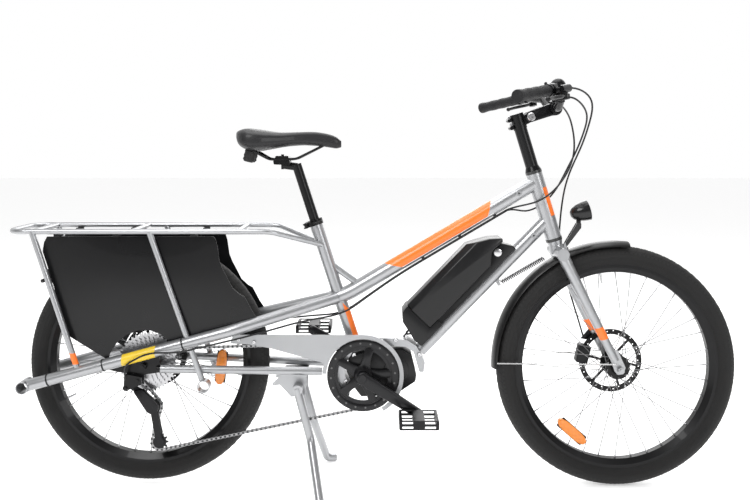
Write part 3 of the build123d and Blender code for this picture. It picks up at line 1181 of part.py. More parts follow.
# ---- controls on the bar ----
bar_level = Vector(0, 0, 1)
lever_side = (grip_dir.cross(bar_level)).normalized()
if lever_side.X < 0:
    lever_side = lever_side * -1
lever_down = grip_dir.cross(lever_side).normalized()
if lever_down.Z > 0:
    lever_down = lever_down * -1
LEVER_CLAMP_RADIUS = 17.0
lever_clamp_centre = grip_inner - grip_dir * 14
lever_pivot = lever_clamp_centre + lever_side * 34 + lever_down * 16 - grip_dir * 2
lever_clamp = rod(lever_clamp_centre - grip_dir * 9, lever_clamp_centre + grip_dir * 9, LEVER_CLAMP_RADIUS)
reservoir_start = lever_clamp_centre + lever_side * 27 + grip_dir * 4
reservoir = rod(reservoir_start, reservoir_start - grip_dir * 44, 11)
reservoir_neck = rod(lever_clamp_centre + lever_side * 8, lever_clamp_centre + lever_side * 26, 8)
LEVER_PIN_RADIUS = 3.0
LEVER_HALF = 5.0
pivot_ears = []
for way in (-1, 1):
    near = lever_pivot + lever_down * (way * (LEVER_HALF + CLEARANCE))
    pivot_ears.append(rod(near, near + lever_down * (way * 3.5), 9))
ear_web_start = lever_pivot - lever_side * 4 - grip_dir * 14
ear_web = rod(
    ear_web_start - lever_down * (LEVER_HALF + 3.8), ear_web_start + lever_down * (LEVER_HALF + 3.8), 6
)
lever_pin = rod(
    lever_pivot - lever_down * (LEVER_HALF + 3.8), lever_pivot + lever_down * (LEVER_HALF + 3.8), LEVER_PIN_RADIUS
)
lever_body = lever_clamp.fuse(reservoir_neck).fuse(reservoir)
for ear_piece in pivot_ears + [ear_web, lever_pin]:
    lever_body = lever_body.fuse(ear_piece)
lever_body = cut(lever_body, bar_envelope)
lever_body = max(lever_body.solids(), key=lambda s: s.volume)

blade_run = [
    lever_pivot + grip_dir * 3, lever_pivot + grip_dir * 30 + lever_side * 6,
    lever_pivot + grip_dir * 70 + lever_side * 2, lever_pivot + grip_dir * 104 + lever_side * 8,
]
lever_blade = bent(blade_run, 5.0, [40.0, 60.0])
lever_eye = rod(lever_pivot - lever_down * LEVER_HALF, lever_pivot + lever_down * LEVER_HALF, 7.5)
lever = lever_blade.fuse(lever_eye)
lever = lever.fuse(Solid.make_sphere(6.5, Plane(blade_run[-1])))
lever = lever - rod(
    lever_pivot - lever_down * 30, lever_pivot + lever_down * 30, LEVER_PIN_RADIUS + SHAFT_CLEARANCE
)
lever_room = rod(lever_pivot - lever_down * LEVER_HALF, lever_pivot + lever_down * LEVER_HALF, 8.2)
keep("brake_lever_right", lever)
keep("brake_lever_left", mirrored(lever))

# shifter under the right side of the bar
shifter_centre = lever_clamp_centre - grip_dir * 34 + lever_down * 22 + lever_side * 8
shifter_plane = Plane(shifter_centre, x_dir=grip_dir, z_dir=lever_down)
shifter = shifter_plane.location * Box(40, 34, 16)
shifter = fillet(shifter.edges(), 4)
shifter_stalk = rod(shifter_centre - lever_down * 20, shifter_centre, 7)
SHIFT_PIN_RADIUS = 4.0
shift_pivot = shifter_centre + lever_down * 8
shift_pin = rod(shift_pivot - lever_down * 2, shift_pivot + lever_down * 7, SHIFT_PIN_RADIUS)
shift_gap = 0.5
paddle_top = shift_pivot + lever_down * shift_gap
paddle_hub = rod(paddle_top, paddle_top + lever_down * 5, 9)
paddle_tip = paddle_top + lever_down * 2 + grip_dir * 34 - lever_side * 14
paddle = rod(paddle_top + lever_down * 2.4, paddle_tip, 1.7).fuse(paddle_hub)
paddle = paddle.fuse(rod(paddle_tip - lever_down * 2.2, paddle_tip + lever_down * 2.2, 7))
paddle = paddle - rod(shift_pivot - lever_down * 30, shift_pivot + lever_down * 30, SHIFT_PIN_RADIUS + SHAFT_CLEARANCE)
keep("shift_lever", paddle)
shifter_body = cut(shifter.fuse(shifter_stalk).fuse(shift_pin), bar_envelope, lever_body)
shifter_body = max(shifter_body.solids(), key=lambda s: s.volume)

# bell on the right side of the bar, with its sprung striker
bell_foot = bar_rise + (bar_run[1] - bar_rise) * 0.12
bell_centre = bell_foot + Vector(-10, 0, 27)
bell_post = rod(bell_foot, bell_centre + Vector(0, 0, 4), 6)
BELL_RADIUS = 21.0
bell_cup = Solid.make_sphere(BELL_RADIUS, Plane(bell_centre)) & block(
    bell_centre + Vector(-40, -40, 0), bell_centre + Vector(40, 40, 40)
)
bell_base = rod(bell_centre + Vector(0, 0, -5), bell_centre, 17)
striker_pivot = bell_centre + Vector(-19, 0, -2)
STRIKER_PIN = 1.5
striker_pin = rod(striker_pivot - Vector(0, 4, 0), striker_pivot + Vector(0, 4, 0), STRIKER_PIN)
striker_room = block(striker_pivot + Vector(-8, -2.5, -6), striker_pivot + Vector(6, 2.5, 12))
bell = bell_post.fuse(bell_base).fuse(bell_cup)
striker_cheeks = block(striker_pivot + Vector(-3, -5, -3), striker_pivot + Vector(5, 5, 2))
bell = bell.fuse(striker_cheeks) - striker_room
bell = cut(bell.fuse(striker_pin), bar_envelope)
bell = max(bell.solids(), key=lambda s: s.volume)
striker_arm = rod(striker_pivot, striker_pivot + Vector(-14, 0, 9), 1.4)
striker_eye = rod(striker_pivot - Vector(0, 2, 0), striker_pivot + Vector(0, 2, 0), 2.6)
striker_tip = rod(striker_pivot + Vector(-14, -2.5, 9), striker_pivot + Vector(-14, 2.5, 9), 4)
striker = striker_arm.fuse(striker_eye).fuse(striker_tip)
keep("bell_striker", striker - rod(
    striker_pivot - Vector(0, 9, 0), striker_pivot + Vector(0, 9, 0), STRIKER_PIN + SHAFT_CLEARANCE
))

# display in the middle and the assist switch beside the left grip
display_foot = clamp + Vector(0, 0, BAR_CLAMP_RADIUS)
display = Pos(*(clamp + Vector(16, 0, 46))) * Rot(0, -28, 0) * Box(56, 84, 15)
display = fillet(display.edges(), 5)
display_arms = []
for way in (-1, 1):
    arm_foot = clamp + Vector(0, way * (STEM_HALF + 6), 0)
    display_arms.append(rod(arm_foot, arm_foot + Vector(12, way * 2, 45), 5))
display_body = display.fuse(display_arms[0]).fuse(display_arms[1])
display_body = cut(display_body, bar_solid_middle, stem_arm)

switch_centre = twin(lever_clamp_centre - grip_dir * 26)
switch_dir = twin(grip_dir)
switch_side = twin(lever_side)
switch_up = twin(lever_down) * -1
switch_ring = rod(switch_centre - switch_dir * 8, switch_centre + switch_dir * 8, LEVER_CLAMP_RADIUS)
switch_head = Plane(switch_centre - switch_side * 20 + switch_up * 10, x_dir=switch_dir, z_dir=switch_up)
switch_box = fillet((switch_head.location * Box(26, 26, 18)).edges(), 3)
BUTTON_RADIUS = 7.0
BUTTON_TRAVEL = 1.5
button_seat = switch_centre - switch_side * 20 + switch_up * 19
button_hole = rod(button_seat - switch_up * 6, button_seat + switch_up * 5, BUTTON_RADIUS + SHAFT_CLEARANCE + 0.2)
button = rod(button_seat - switch_up * (6 - BUTTON_TRAVEL - 0.5), button_seat + switch_up * 3, BUTTON_RADIUS)
switch = cut(switch_ring.fuse(switch_box), mirrored(bar_envelope), button_hole)
switch = max(switch.solids(), key=lambda s: s.volume)
keep("assist_button", button)
left_lever_body = cut(mirrored(lever_body), switch)
keep("bar_controls", cut(lever_body, lever_room - lever_pin), cut(left_lever_body, mirrored(lever_room - lever_pin)))
keep("bar_controls", cut(shifter_body, bell), bell, display_body, cut(switch, mirrored(lever_body)))

# ---- seatpost and saddle ----
clamp_height = 16.0
post_top = SEAT_TUBE_LENGTH + POST_EXPOSED
post = rod(on_seat_tube(SEAT_TUBE_LENGTH - POST_INSERTION), on_seat_tube(post_top), POST_RADIUS)
post = post - rod(on_seat_tube(SEAT_TUBE_LENGTH - POST_INSERTION - 1), on_seat_tube(post_top - 12), POST_RADIUS - 2.5)
head_end = on_seat_tube(post_top + 10, -38)
post_head = rod(on_seat_tube(post_top - 8), head_end, 11)
sx, sz = head_end.X - REAR_AXLE_X, head_end.Z
cradle_low = plate([(sx - 22, sz + 2), (sx + 24, sz), (sx + 22, sz + 13), (sx - 24, sz + 14)], -24, 24, 3)
RAIL_WIRE_RADIUS = 3.5
RAIL_WIRE_SPREAD = 22.0
rail_wire_z = sz + 14
wire_run = [
    at(sx - 78, rail_wire_z + 26, -RAIL_WIRE_SPREAD - 16), at(sx - 34, rail_wire_z + 2, -RAIL_WIRE_SPREAD),
    at(sx + 40, rail_wire_z + 3, -RAIL_WIRE_SPREAD), at(sx + 118, rail_wire_z + 42, -RAIL_WIRE_SPREAD + 12),
]
wire = bent(wire_run, RAIL_WIRE_RADIUS, [30.0, 45.0])
yoke = plate(
    [(sx - 20, rail_wire_z + 2), (sx + 22, rail_wire_z + 2), (sx + 18, rail_wire_z + 12), (sx - 16, rail_wire_z + 12)],
    -28, 28, 2,
)
seat_bolt = rod(at(sx, sz - 12), at(sx, rail_wire_z + 16), 4)
seatpost = post.fuse(post_head).fuse(cradle_low).fuse(yoke).fuse(seat_bolt)
seatpost = max(cut(seatpost, wire, mirrored(wire)).solids(), key=lambda s: s.volume)
keep("seatpost", seatpost)

saddle_tail = SADDLE_FRONT - SADDLE_LENGTH
saddle_base = rail_wire_z
side_outline = [
    (0, 46), (6, 66), (22, 77), (66, 70), (122, 61), (190, 66), (246, 60), (280, 44), (292, 22),
    (286, 16), (240, 20), (214, 22), (170, 24), (110, 10), (70, -2), (46, -4), (14, 18),
]
saddle_side = plate([(saddle_tail + x, saddle_base + 22 + z - 8) for x, z in side_outline], -120, 120)
plan = [
    (0, 40), (8, 68), (34, SADDLE_WIDTH / 2), (78, SADDLE_WIDTH / 2 - 4), (120, 62), (160, 38), (200, 26),
    (250, 20), (284, 15), (292, 6),
]
plan_points = [(saddle_tail + x + REAR_AXLE_X, -y) for x, y in plan]
plan_points += [(saddle_tail + x + REAR_AXLE_X, y) for x, y in reversed(plan)]
saddle_plan = extrude(Pos(0, 0, saddle_base - 60) * make_face(Polyline(*plan_points, close=True)), 200)
saddle = saddle_side & saddle_plan
saddle = max(saddle.solids(), key=lambda s: s.volume)
saddle_shell = cut(saddle, wire, mirrored(wire))
saddle_shell = max(saddle_shell.solids(), key=lambda s: s.volume)
bumper_top = at(saddle_tail + 34, saddle_base + 34)
bumper = rod(bumper_top, bumper_top + Vector(-16, 0, -44), 20)
bumper = cut(bumper, saddle, wire, mirrored(wire))
bumper = max(bumper.solids(), key=lambda s: s.volume)
keep("saddle", saddle_shell, bumper)
wire_end = cut(wire, post_head)
keep("seatpost", *both(wire_end))

# ---- seat clamp ----
collar_low = SEAT_TUBE_LENGTH - 12
collar = rod(on_seat_tube(collar_low), on_seat_tube(collar_low + clamp_height), SEAT_TUBE_RADIUS + 4)
seat_top_envelope = rod(on_seat_tube(collar_low - 1), on_seat_tube(SEAT_TUBE_LENGTH), SEAT_TUBE_RADIUS)
lip_bore = rod(on_seat_tube(SEAT_TUBE_LENGTH - 1), on_seat_tube(SEAT_TUBE_LENGTH + 30), POST_RADIUS + SHAFT_CLEARANCE)
LEVER_AXIS = -25.0
lever_pin_point = on_seat_tube(collar_low + clamp_height / 2, LEVER_AXIS)
QR_HALF = 8.0
collar_ears = []
for way in (-1, 1):
    ear_face = lever_pin_point + Vector(0, way * 2, 0)
    collar_ears.append(rod(ear_face, ear_face + Vector(0, way * 8, 0), 7.5))
QR_RADIUS = 2.5
CAM_RADIUS = 8.0
cam_centre = lever_pin_point + Vector(0, -25.5, 0)
qr_rod = rod(cam_centre, lever_pin_point + Vector(0, 16, 0), QR_RADIUS)
qr_nut = rod(lever_pin_point + Vector(0, 10, 0), lever_pin_point + Vector(0, 16, 0), 6.5)
qr_eye = rod(cam_centre - seat_up * 3, cam_centre + seat_up * 3, 5)
cam_pin = rod(cam_centre - seat_up * 8, cam_centre + seat_up * 8, QR_RADIUS)
clamp_body = collar.fuse(collar_ears[0]).fuse(collar_ears[1]).fuse(qr_rod).fuse(qr_nut).fuse(qr_eye).fuse(cam_pin)
clamp_body = cut(clamp_body, seat_top_envelope, lip_bore)
keep("seat_clamp", max(clamp_body.solids(), key=lambda s: s.volume))
# the quick-release lever turns about a pin through the clamp rod, and lies along the right side
cam = rod(cam_centre - seat_up * 7, cam_centre + seat_up * 7, CAM_RADIUS)
lever_root = cam_centre + Vector(0, -4.5, 0)
lever_arm = rod(lever_root + seat_ahead * 6, lever_root + seat_ahead * 44, 3.3)
cam_slot_plane = Plane(cam_centre, x_dir=(0, 1, 0), z_dir=seat_up)
cam_slot = cam_slot_plane.location * Pos(0, 0, 0) * Cylinder(CAM_RADIUS + 3, 6 + 2 * CLEARANCE)
cam_bore = rod(cam_centre - seat_up * 20, cam_centre + seat_up * 20, QR_RADIUS + SHAFT_CLEARANCE)
lever_web = rod(cam_centre + seat_ahead * 13 - seat_up * 7, cam_centre + seat_ahead * 13 + seat_up * 7, 5)
lever_web = lever_web.fuse(
    block(Vector(-13, -4, -7), Vector(0, 4, 7)).moved(Plane(cam_centre + seat_ahead * 13, x_dir=seat_ahead, z_dir=seat_up).location)
)
clamp_lever = cut(cam.fuse(lever_web) - cam_slot, cam_bore).fuse(
    rod(cam_centre + seat_ahead * 12, cam_centre + seat_ahead * 24 + Vector(0, -7, 0), 3.3)
)
clamp_lever = clamp_lever.fuse(rod(
    cam_centre + seat_ahead * 22 + Vector(0, -6, 0), cam_centre + seat_ahead * 48 + Vector(0, -8, 0), 3.6
))
keep("clamp_lever", max(cut(clamp_lever, cam_slot).solids(), key=lambda s: s.volume))

# ---- battery on the down tube ----
def on_down_tube(along, out, y=0.0):
    return nose + down_dir * along + down_out * out + Vector(0, y, 0)


def down_plate(outline, y_low, y_high, corner=0.0):
    points = [on_down_tube(a, o) for a, o in outline]
    return plate([(p.X - REAR_AXLE_X, p.Z) for p in points], y_low, y_high, corner)


tube_face = DOWN_TUBE_RADIUS
holder_top = tube_face + HOLDER_THICKNESS
case_low = holder_top + CLEARANCE
case_high = case_low + BATTERY_DEPTH - 4
foot = BATTERY_FOOT
case_start = foot + 46
case_outline = [
    (case_start, case_low), (case_start, case_high), (foot + BATTERY_LENGTH - 62, case_high),
    (foot + BATTERY_LENGTH - 6, case_high - 34), (foot + BATTERY_LENGTH + 20, case_low + 30),
    (foot + BATTERY_LENGTH + 14, case_low + 22), (foot + BATTERY_LENGTH - 26, case_low + 26),
    (foot + BATTERY_LENGTH - 56, case_low),
]
case = down_plate(case_outline, -BATTERY_HALF_WIDTH, BATTERY_HALF_WIDTH)
case_long_edges = case.edges().filter_by(Plane.XZ)
shoulder = 17.0
for way in (-1, 1):
    edge_y = way * BATTERY_HALF_WIDTH
    corner_tool = Plane(on_down_tube(-200, case_high, edge_y), x_dir=(0, 1, 0), z_dir=down_dir)
    wedge = extrude(corner_tool * (Rot(0, 0, 45) * Rectangle(shoulder * 1.3, shoulder * 1.3)), 900)
    case = case - wedge
cells = down_plate(
    [(case_start + 8, case_low + 8), (case_start + 8, case_high - 22),
     (foot + BATTERY_LENGTH - 80, case_high - 22), (foot + BATTERY_LENGTH - 80, case_low + 8)],
    -BATTERY_HALF_WIDTH + 6, BATTERY_HALF_WIDTH - 6,
)
cell_room = down_plate(
    [(case_start + 4, case_low + 4), (case_start + 4, case_high - 18),
     (foot + BATTERY_LENGTH - 76, case_high - 18), (foot + BATTERY_LENGTH - 76, case_low + 4)],
    -BATTERY_HALF_WIDTH + BATTERY_WALL, BATTERY_HALF_WIDTH - BATTERY_WALL,
)
cell_ribs = down_plate(
    [(case_start + 4, case_low + 4), (case_start + 4, case_low + 8 - 0.2),
     (foot + BATTERY_LENGTH - 76, case_low + 8 - 0.2), (foot + BATTERY_LENGTH - 76, case_low + 4)],
    -BATTERY_HALF_WIDTH + BATTERY_WALL, BATTERY_HALF_WIDTH - BATTERY_WALL,
)
keep("battery", (case - cell_room).fuse(cell_ribs))
keep("battery", cells)
holder_outline = [
    (foot - 6, tube_face - 6), (foot - 8, tube_face + 20), (foot + 6, case_high - 22), (foot + 24, case_high - 3),
    (case_start - CLEARANCE, case_high), (case_start - CLEARANCE, holder_top),
    (foot + BATTERY_LENGTH - 30, holder_top), (foot + BATTERY_LENGTH + 24, tube_face + 3),
    (foot + BATTERY_LENGTH + 24, tube_face - 6),
]
holder_low = down_plate(
    holder_outline[:6] + [(case_start + 30, holder_top), (case_start + 30, tube_face - 6)],
    -BATTERY_HALF_WIDTH, BATTERY_HALF_WIDTH, 2,
)
holder_rail = down_plate(
    [(foot, tube_face - 6), (foot, holder_top), (foot + BATTERY_LENGTH - 58, holder_top),
     (foot + BATTERY_LENGTH - 30, holder_top + 22), (foot + BATTERY_LENGTH + 10, holder_top + 17),
     (foot + BATTERY_LENGTH + 26, tube_face + 3), (foot + BATTERY_LENGTH + 26, tube_face - 6)],
    -24, 24, 1.5,
)
lock_room = down_plate(
    [(foot + BATTERY_LENGTH - 62, case_low - 1.5), (foot + BATTERY_LENGTH - 28, case_low + 26.5),
     (foot + BATTERY_LENGTH + 16, case_low + 22.5), (foot + BATTERY_LENGTH + 40, case_low + 60),
     (foot + BATTERY_LENGTH - 60, case_low + 60)],
    -60, 60,
)
holder = cut(holder_low.fuse(holder_rail), down_envelope)
holder = cut(holder, down_plate([(a, o + 0.0) for a, o in case_outline], -60, 60).fuse(
    down_plate([(a, o - CLEARANCE) for a, o in case_outline], -60, 60)))
holder_screws = [
    rod(on_down_tube(along, holder_top - 3), on_down_tube(along, tube_face - TUBE_WALL), 3) for along in (70, 190, 300)
]
keep("battery_holder", cut(max(holder.solids(), key=lambda s: s.volume), *holder_screws))

# ---- skirts ----
def skirt_point(x, z):
    return (x, z)


strut_slope = (REAR_STRUT_FOOT - REAR_STRUT_TOP) / (RACK_HEIGHT - rail_height(REAR_STRUT_FOOT))
skirt_top = RACK_HEIGHT - RACK_RADIUS - 8
skirt_outline = [
    (-264, skirt_top), (-276, skirt_top - 40), (REAR_STRUT_FOOT + 8, rail_height(REAR_STRUT_FOOT) - 4),
    (325, rail_height(325) - 12), (297, rail_height(297) + 36), (262, rail_height(262) + 92),
    (228, rail_height(228) + 148), (208, skirt_top - 76), (196, skirt_top - 6), (190, skirt_top),
]
skirt = plate(skirt_outline, -SKIRT_OFFSET - SKIRT_THICKNESS, -SKIRT_OFFSET)
skirt = skirt - cross_rod(0, AXLE_HEIGHT + 4, SKIRT_WHEEL_CUTOUT, -200, 0)
skirt = cut(skirt, rail_envelope, dropout)
skirt = max(skirt.solids(), key=lambda s: s.volume)
tabs = []
for station in (-230.0, -70.0, 140.0):
    tab = block(
        at(station - 9, skirt_top - 14, -RACK_HALF_WIDTH + 3), at(station + 9, RACK_HEIGHT, -SKIRT_OFFSET)
    )
    tabs.append(cut(tab, rack_rail, skirt))
keep("side_skirts", *both(skirt))
keep("side_skirts", *[half for tab in tabs for half in both(tab)])

# ---- tail light on the right rear strut ----
lamp_z = 588.0
lamp_x = REAR_STRUT_TOP + strut_slope * (RACK_HEIGHT - lamp_z)
tail_bar = cross_rod(lamp_x - STRUT_RADIUS - 5, lamp_z, 5, -RACK_HALF_WIDTH - 4, RACK_HALF_WIDTH + 4)
tail_lens = block(at(lamp_x - 34, lamp_z - 20, -26), at(lamp_x - 16, lamp_z + 20, 26), 3)
strut_envelope = rod(
    at(REAR_STRUT_TOP, RACK_HEIGHT, -RACK_HALF_WIDTH),
    at(REAR_STRUT_FOOT, rail_height(REAR_STRUT_FOOT), -rail_half_width), STRUT_RADIUS,
)
tail_light = cut(tail_bar.fuse(tail_lens), strut_envelope, mirrored(strut_envelope))
keep("tail_light", max(tail_light.solids(), key=lambda s: s.volume))

# ---- centre stand ----
stand_leg_run = [
    at(stand_x - 2, stand_z + 4, -STAND_TOP_HALF), at(stand_x + 36, 150, -STAND_TOP_HALF - 1),
    at(stand_x + 68, STAND_RADIUS, -STAND_FOOT_HALF), at(stand_x + 94, STAND_RADIUS, -STAND_FOOT_HALF - 8),
]
stand_leg = bent_pipe(stand_leg_run, STAND_RADIUS, STAND_WALL, [45.0, 18.0])
sleeve = cross_rod(stand_x, stand_z, 14, -STAND_TOP_HALF - 9, -BRACKET_HALF - CLEARANCE)
leg_core = bent(stand_leg_run, STAND_RADIUS - STAND_WALL, [45.0, 18.0])
stand_side = cut(sleeve, leg_core).fuse(stand_leg)
stand_side = max(stand_side.solids(), key=lambda s: s.volume)
stand_shaft = cross_rod(stand_x, stand_z, STAND_SHAFT_RADIUS, -46, 46)
keep("stand_legs", stand_side.fuse(mirrored(stand_side)).fuse(stand_shaft))

# ---- cables held by the frame ----
CABLE_RADIUS = 2.5
under = TOP_TUBE_RADIUS + CABLE_RADIUS + 3


def under_top_tube(back, y):
    """A point under the top tube, so far behind the head tube's axis."""
    return top_join - top_dir * back + Vector(top_dir.Z, 0, -top_dir.X) * under + Vector(0, y, 0)


FRAME_CABLE_START = 112.0
shift_cable = cable([
    under_top_tube(FRAME_CABLE_START, -6), under_top_tube(470, -6), at(562, CRANK_HEIGHT + 176, -27),
    at(520, CRANK_HEIGHT + 160, -30), at(425, CRANK_HEIGHT + 148, -56), at(300, rail_height(300) - 27, -92),
    at(100, rail_height(100) - 16, -114), at(24, AXLE_HEIGHT + 48, -116), at(-38, AXLE_HEIGHT + 14, -110),
    at(-46, AXLE_HEIGHT - 14, -92), at(-44, AXLE_HEIGHT - 34, -89),
], CABLE_RADIUS, "shift cable")
rear_hose = cable([
    under_top_tube(FRAME_CABLE_START, 6), under_top_tube(470, 6), at(562, CRANK_HEIGHT + 170, 27),
    at(520, CRANK_HEIGHT + 152, 30), at(425, CRANK_HEIGHT + 140, 54), at(300, rail_height(300) - 24, 70),
    at(180, rail_height(180) - 26, 70), at(118, AXLE_HEIGHT + 76, 62),
    at(84, AXLE_HEIGHT + 68, 58),
], CABLE_RADIUS, "rear hose")
motor_lead = cable([
    on_down_tube(foot - 4, tube_face + 30), on_down_tube(foot - 22, tube_face + 44),
    at(CX + 132, CZ + 116, 4), at(CX + 112, CZ + 90, 6),
], CABLE_RADIUS, "motor lead")
keep("frame_cables", cut(shift_cable, base_knuckle, dropout), cut(rear_hose, rear_shapes[0]), cut(motor_lead, cradle, holder))

# ---- cables from the bar ----
hose_start = reservoir_start - grip_dir * 44
front_hose = cable([
    hose_start, hose_start - grip_dir * 26 + lever_side * 12, at(1222, 1086, -120), at(1216, 1022, -92),
    at(1202, 952, -56), at(1182, 892, -14), at(1170, 828, 26), at(1166, 744, 52), at(1168, 668, 84),
    at(1184, 590, 90), at(1206, 510, 88), at(1226, 440, 74), at(1234, 402, 60),
], CABLE_RADIUS, "front hose")
left_start = twin(hose_start)
rear_hose_front = cable([
    left_start, left_start + Vector(24, -22, 2), at(1186, 1064, 60), at(1192, 1010, 8), at(1190, 950, -30),
    at(1172, 890, -46), at(1140, 836, -46), at(1080, 790, -38), under_top_tube(76, -6) + Vector(0, 8, -6),
    under_top_tube(FRAME_CABLE_START, 6),
], CABLE_RADIUS, "rear hose at the bar")
shift_start = shifter_centre + lever_side * 17 + lever_down * 2
shift_front = cable([
    shift_start, shift_start + lever_side * 20 - lever_down * 4, at(1204, 1050, -124), at(1206, 1004, -84),
    at(1192, 944, -46), at(1172, 886, -2), at(1154, 826, 36), at(1112, 782, 42), at(1058, 760, 24),
    under_top_tube(88, -4) + Vector(0, 0, -8), under_top_tube(FRAME_CABLE_START, -6),
], CABLE_RADIUS, "shift cable at the bar")
keep("bar_cables", cut(front_hose, lever_body, front_shapes[0], front_mount))
keep("bar_cables", cut(rear_hose_front, mirrored(lever_body), rear_hose), cut(shift_front, shifter_body, shift_cable))

# ---- clips, ties and screws ----
def tie(x, y_centre):
    """A thin strap round the right side rail."""
    slope = math.atan(SIDE_RAIL_SLOPE)
    centre = at(x, rail_height(x), y_centre)
    plane = Plane(centre, x_dir=(0, 1, 0), z_dir=(math.cos(slope), 0, math.sin(slope)))
    ring = extrude(plane * (Circle(SIDE_RAIL_RADIUS + 1.4) - Circle(SIDE_RAIL_RADIUS)), 3.5)
    return ring


for station in (-255.0, -105.0, 110.0):
    keep("ties_and_screws", cut(tie(station, -rail_half_width), strut_envelope, skirt, dropout, shift_cable))
for back in (150, 265, 385):
    spot = under_top_tube(back, 0) + Vector(-top_dir.Z, 0, top_dir.X) * (under - TOP_TUBE_RADIUS - 1)
    clip = rod(spot - Vector(0, 12, 0), spot + Vector(0, 12, 0), 4.5)
    keep("ties_and_screws", cut(clip, top_envelope, shift_cable, rear_hose))
keep("ties_and_screws", *[cut(screw, down_envelope) for screw in holder_screws])

# ---- write the files ----
os.makedirs("parts", exist_ok=True)
for name, solids in NODES.items():
    piece = solids[0] if len(solids) == 1 else Compound(solids)
    piece.label = name
    export_step(piece, f"parts/{name}.step")
print(len(NODES), "nodes,", sum(len(solids) for solids in NODES.values()), "solids")
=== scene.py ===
import math

import bmesh
import bpy
from mathutils import Matrix, Vector


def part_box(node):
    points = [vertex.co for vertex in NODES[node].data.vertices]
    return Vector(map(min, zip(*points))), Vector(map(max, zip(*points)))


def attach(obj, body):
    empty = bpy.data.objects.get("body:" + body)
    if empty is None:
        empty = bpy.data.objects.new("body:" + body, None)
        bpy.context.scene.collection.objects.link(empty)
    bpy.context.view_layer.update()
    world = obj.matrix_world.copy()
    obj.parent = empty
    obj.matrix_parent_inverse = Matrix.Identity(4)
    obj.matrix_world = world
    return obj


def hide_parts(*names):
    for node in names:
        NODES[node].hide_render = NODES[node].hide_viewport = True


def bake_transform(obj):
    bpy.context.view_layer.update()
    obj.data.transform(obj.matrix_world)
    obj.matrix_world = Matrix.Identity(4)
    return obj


bl_info = {
    "name": "Cargo Bicycle",
    "version": (1, 0, 0),
    "blender": (4, 5, 0),
    "location": "View3D > Sidebar > Cargo Bicycle",
    "description": "Builds the visible pieces and finishes of a longtail cargo bicycle",
    "category": "Object",
}

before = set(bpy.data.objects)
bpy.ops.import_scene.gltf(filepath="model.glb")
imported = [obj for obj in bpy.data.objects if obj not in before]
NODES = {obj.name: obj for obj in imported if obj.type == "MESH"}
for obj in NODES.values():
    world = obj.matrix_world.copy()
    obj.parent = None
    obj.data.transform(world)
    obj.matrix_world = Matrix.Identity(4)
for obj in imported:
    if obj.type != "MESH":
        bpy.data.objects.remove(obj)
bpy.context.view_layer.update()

REAR_AXLE_X = -0.63625
REAR_AXLE = Vector((REAR_AXLE_X, 0, 0.3515))
FRONT_AXLE = Vector((0.67175, 0, 0.3365))
CRANK = Vector((-0.03725, 0, 0.321))
GUIDE = Vector((-0.61425, -0.05, 0.236))
TENSION = Vector((-0.59825, -0.05, 0.137))
STEER_UP = Vector((-0.289032, 0, 0.957319))
STEER_AHEAD = Vector((0.957319, 0, 0.289032))
STEER_FOOT = Vector((0.612396, 0, 0.31858))
SEAT_UP = Vector((-0.309017, 0, 0.951057))
SEAT_AHEAD = Vector((0.951057, 0, 0.309017))
TOP_JOIN = Vector((0.451405, 0, 0.851807))
TOP_DIR = Vector((0.860742, 0, 0.509041))
DOWN_FOOT = Vector((0.12275, 0, 0.377))
DOWN_DIR = Vector((0.698284, 0, 0.715821))
DOWN_OUT = Vector((-0.715821, 0, 0.698284))
GRIP_INNER = Vector((0.44275, -0.21, 1.096))
GRIP_OUTER = Vector((0.34175, -0.332, 1.074))
CRANK_DIR = Vector((0.848048, 0, -0.529919))
CHAIN_Y = -0.05
LINK = 0.0127
RING_TEETH = 44
GEAR_TEETH = 20
PULLEY_TEETH = 11
SPOKES = 36
CRANK_LENGTH = 0.175
CRANK_INNER = 0.079
HOSE_RADIUS = 0.0025
SKIRT_MM = 71.7
SIDES = ((-1, "right"), (1, "left"))


def at(x, z, y=0.0):
    """A point given in millimetres from the rear axle and the ground."""
    return Vector((x / 1000 + REAR_AXLE_X, y / 1000, z / 1000))


def aside(y):
    return Vector((0, y, 0))


def around(turn, radius=1.0, y=0.0):
    """A point on a circle about the y axis."""
    return Vector((radius * math.cos(turn), y, radius * math.sin(turn)))


def signed_power(value, power):
    return math.copysign(abs(value) ** power, value)


def pitch_radius(teeth):
    """The radius of the chain's pins on a toothed wheel."""
    return LINK / (2 * math.sin(math.pi / teeth))


# ---------------------------------------------------------------- finishes


class Wire:
    """A node's output, with arithmetic that adds Math nodes."""

    def __init__(self, shade, socket):
        self.shade = shade
        self.socket = socket

    def _math(self, operation, first, second=None):
        inputs = {0: first}
        if second is not None:
            inputs[1] = second
        return self.shade.node("ShaderNodeMath", {"operation": operation}, inputs)

    def __add__(self, other):
        return self._math("ADD", self, other)

    def __radd__(self, other):
        return self._math("ADD", other, self)

    def __sub__(self, other):
        return self._math("SUBTRACT", self, other)

    def __rsub__(self, other):
        return self._math("SUBTRACT", other, self)

    def __mul__(self, other):
        return self._math("MULTIPLY", self, other)

    def __rmul__(self, other):
        return self._math("MULTIPLY", other, self)

    def __truediv__(self, other):
        return self._math("DIVIDE", self, other)

    def __gt__(self, other):
        return self._math("GREATER_THAN", self, other)

    def __lt__(self, other):
        return self._math("LESS_THAN", self, other)

    def power(self, other):
        return self._math("POWER", self, other)

    def absolute(self):
        return self._math("ABSOLUTE", self)

    def fraction(self):
        return self._math("FRACT", self)

    def sine(self):
        return self._math("SINE", self)


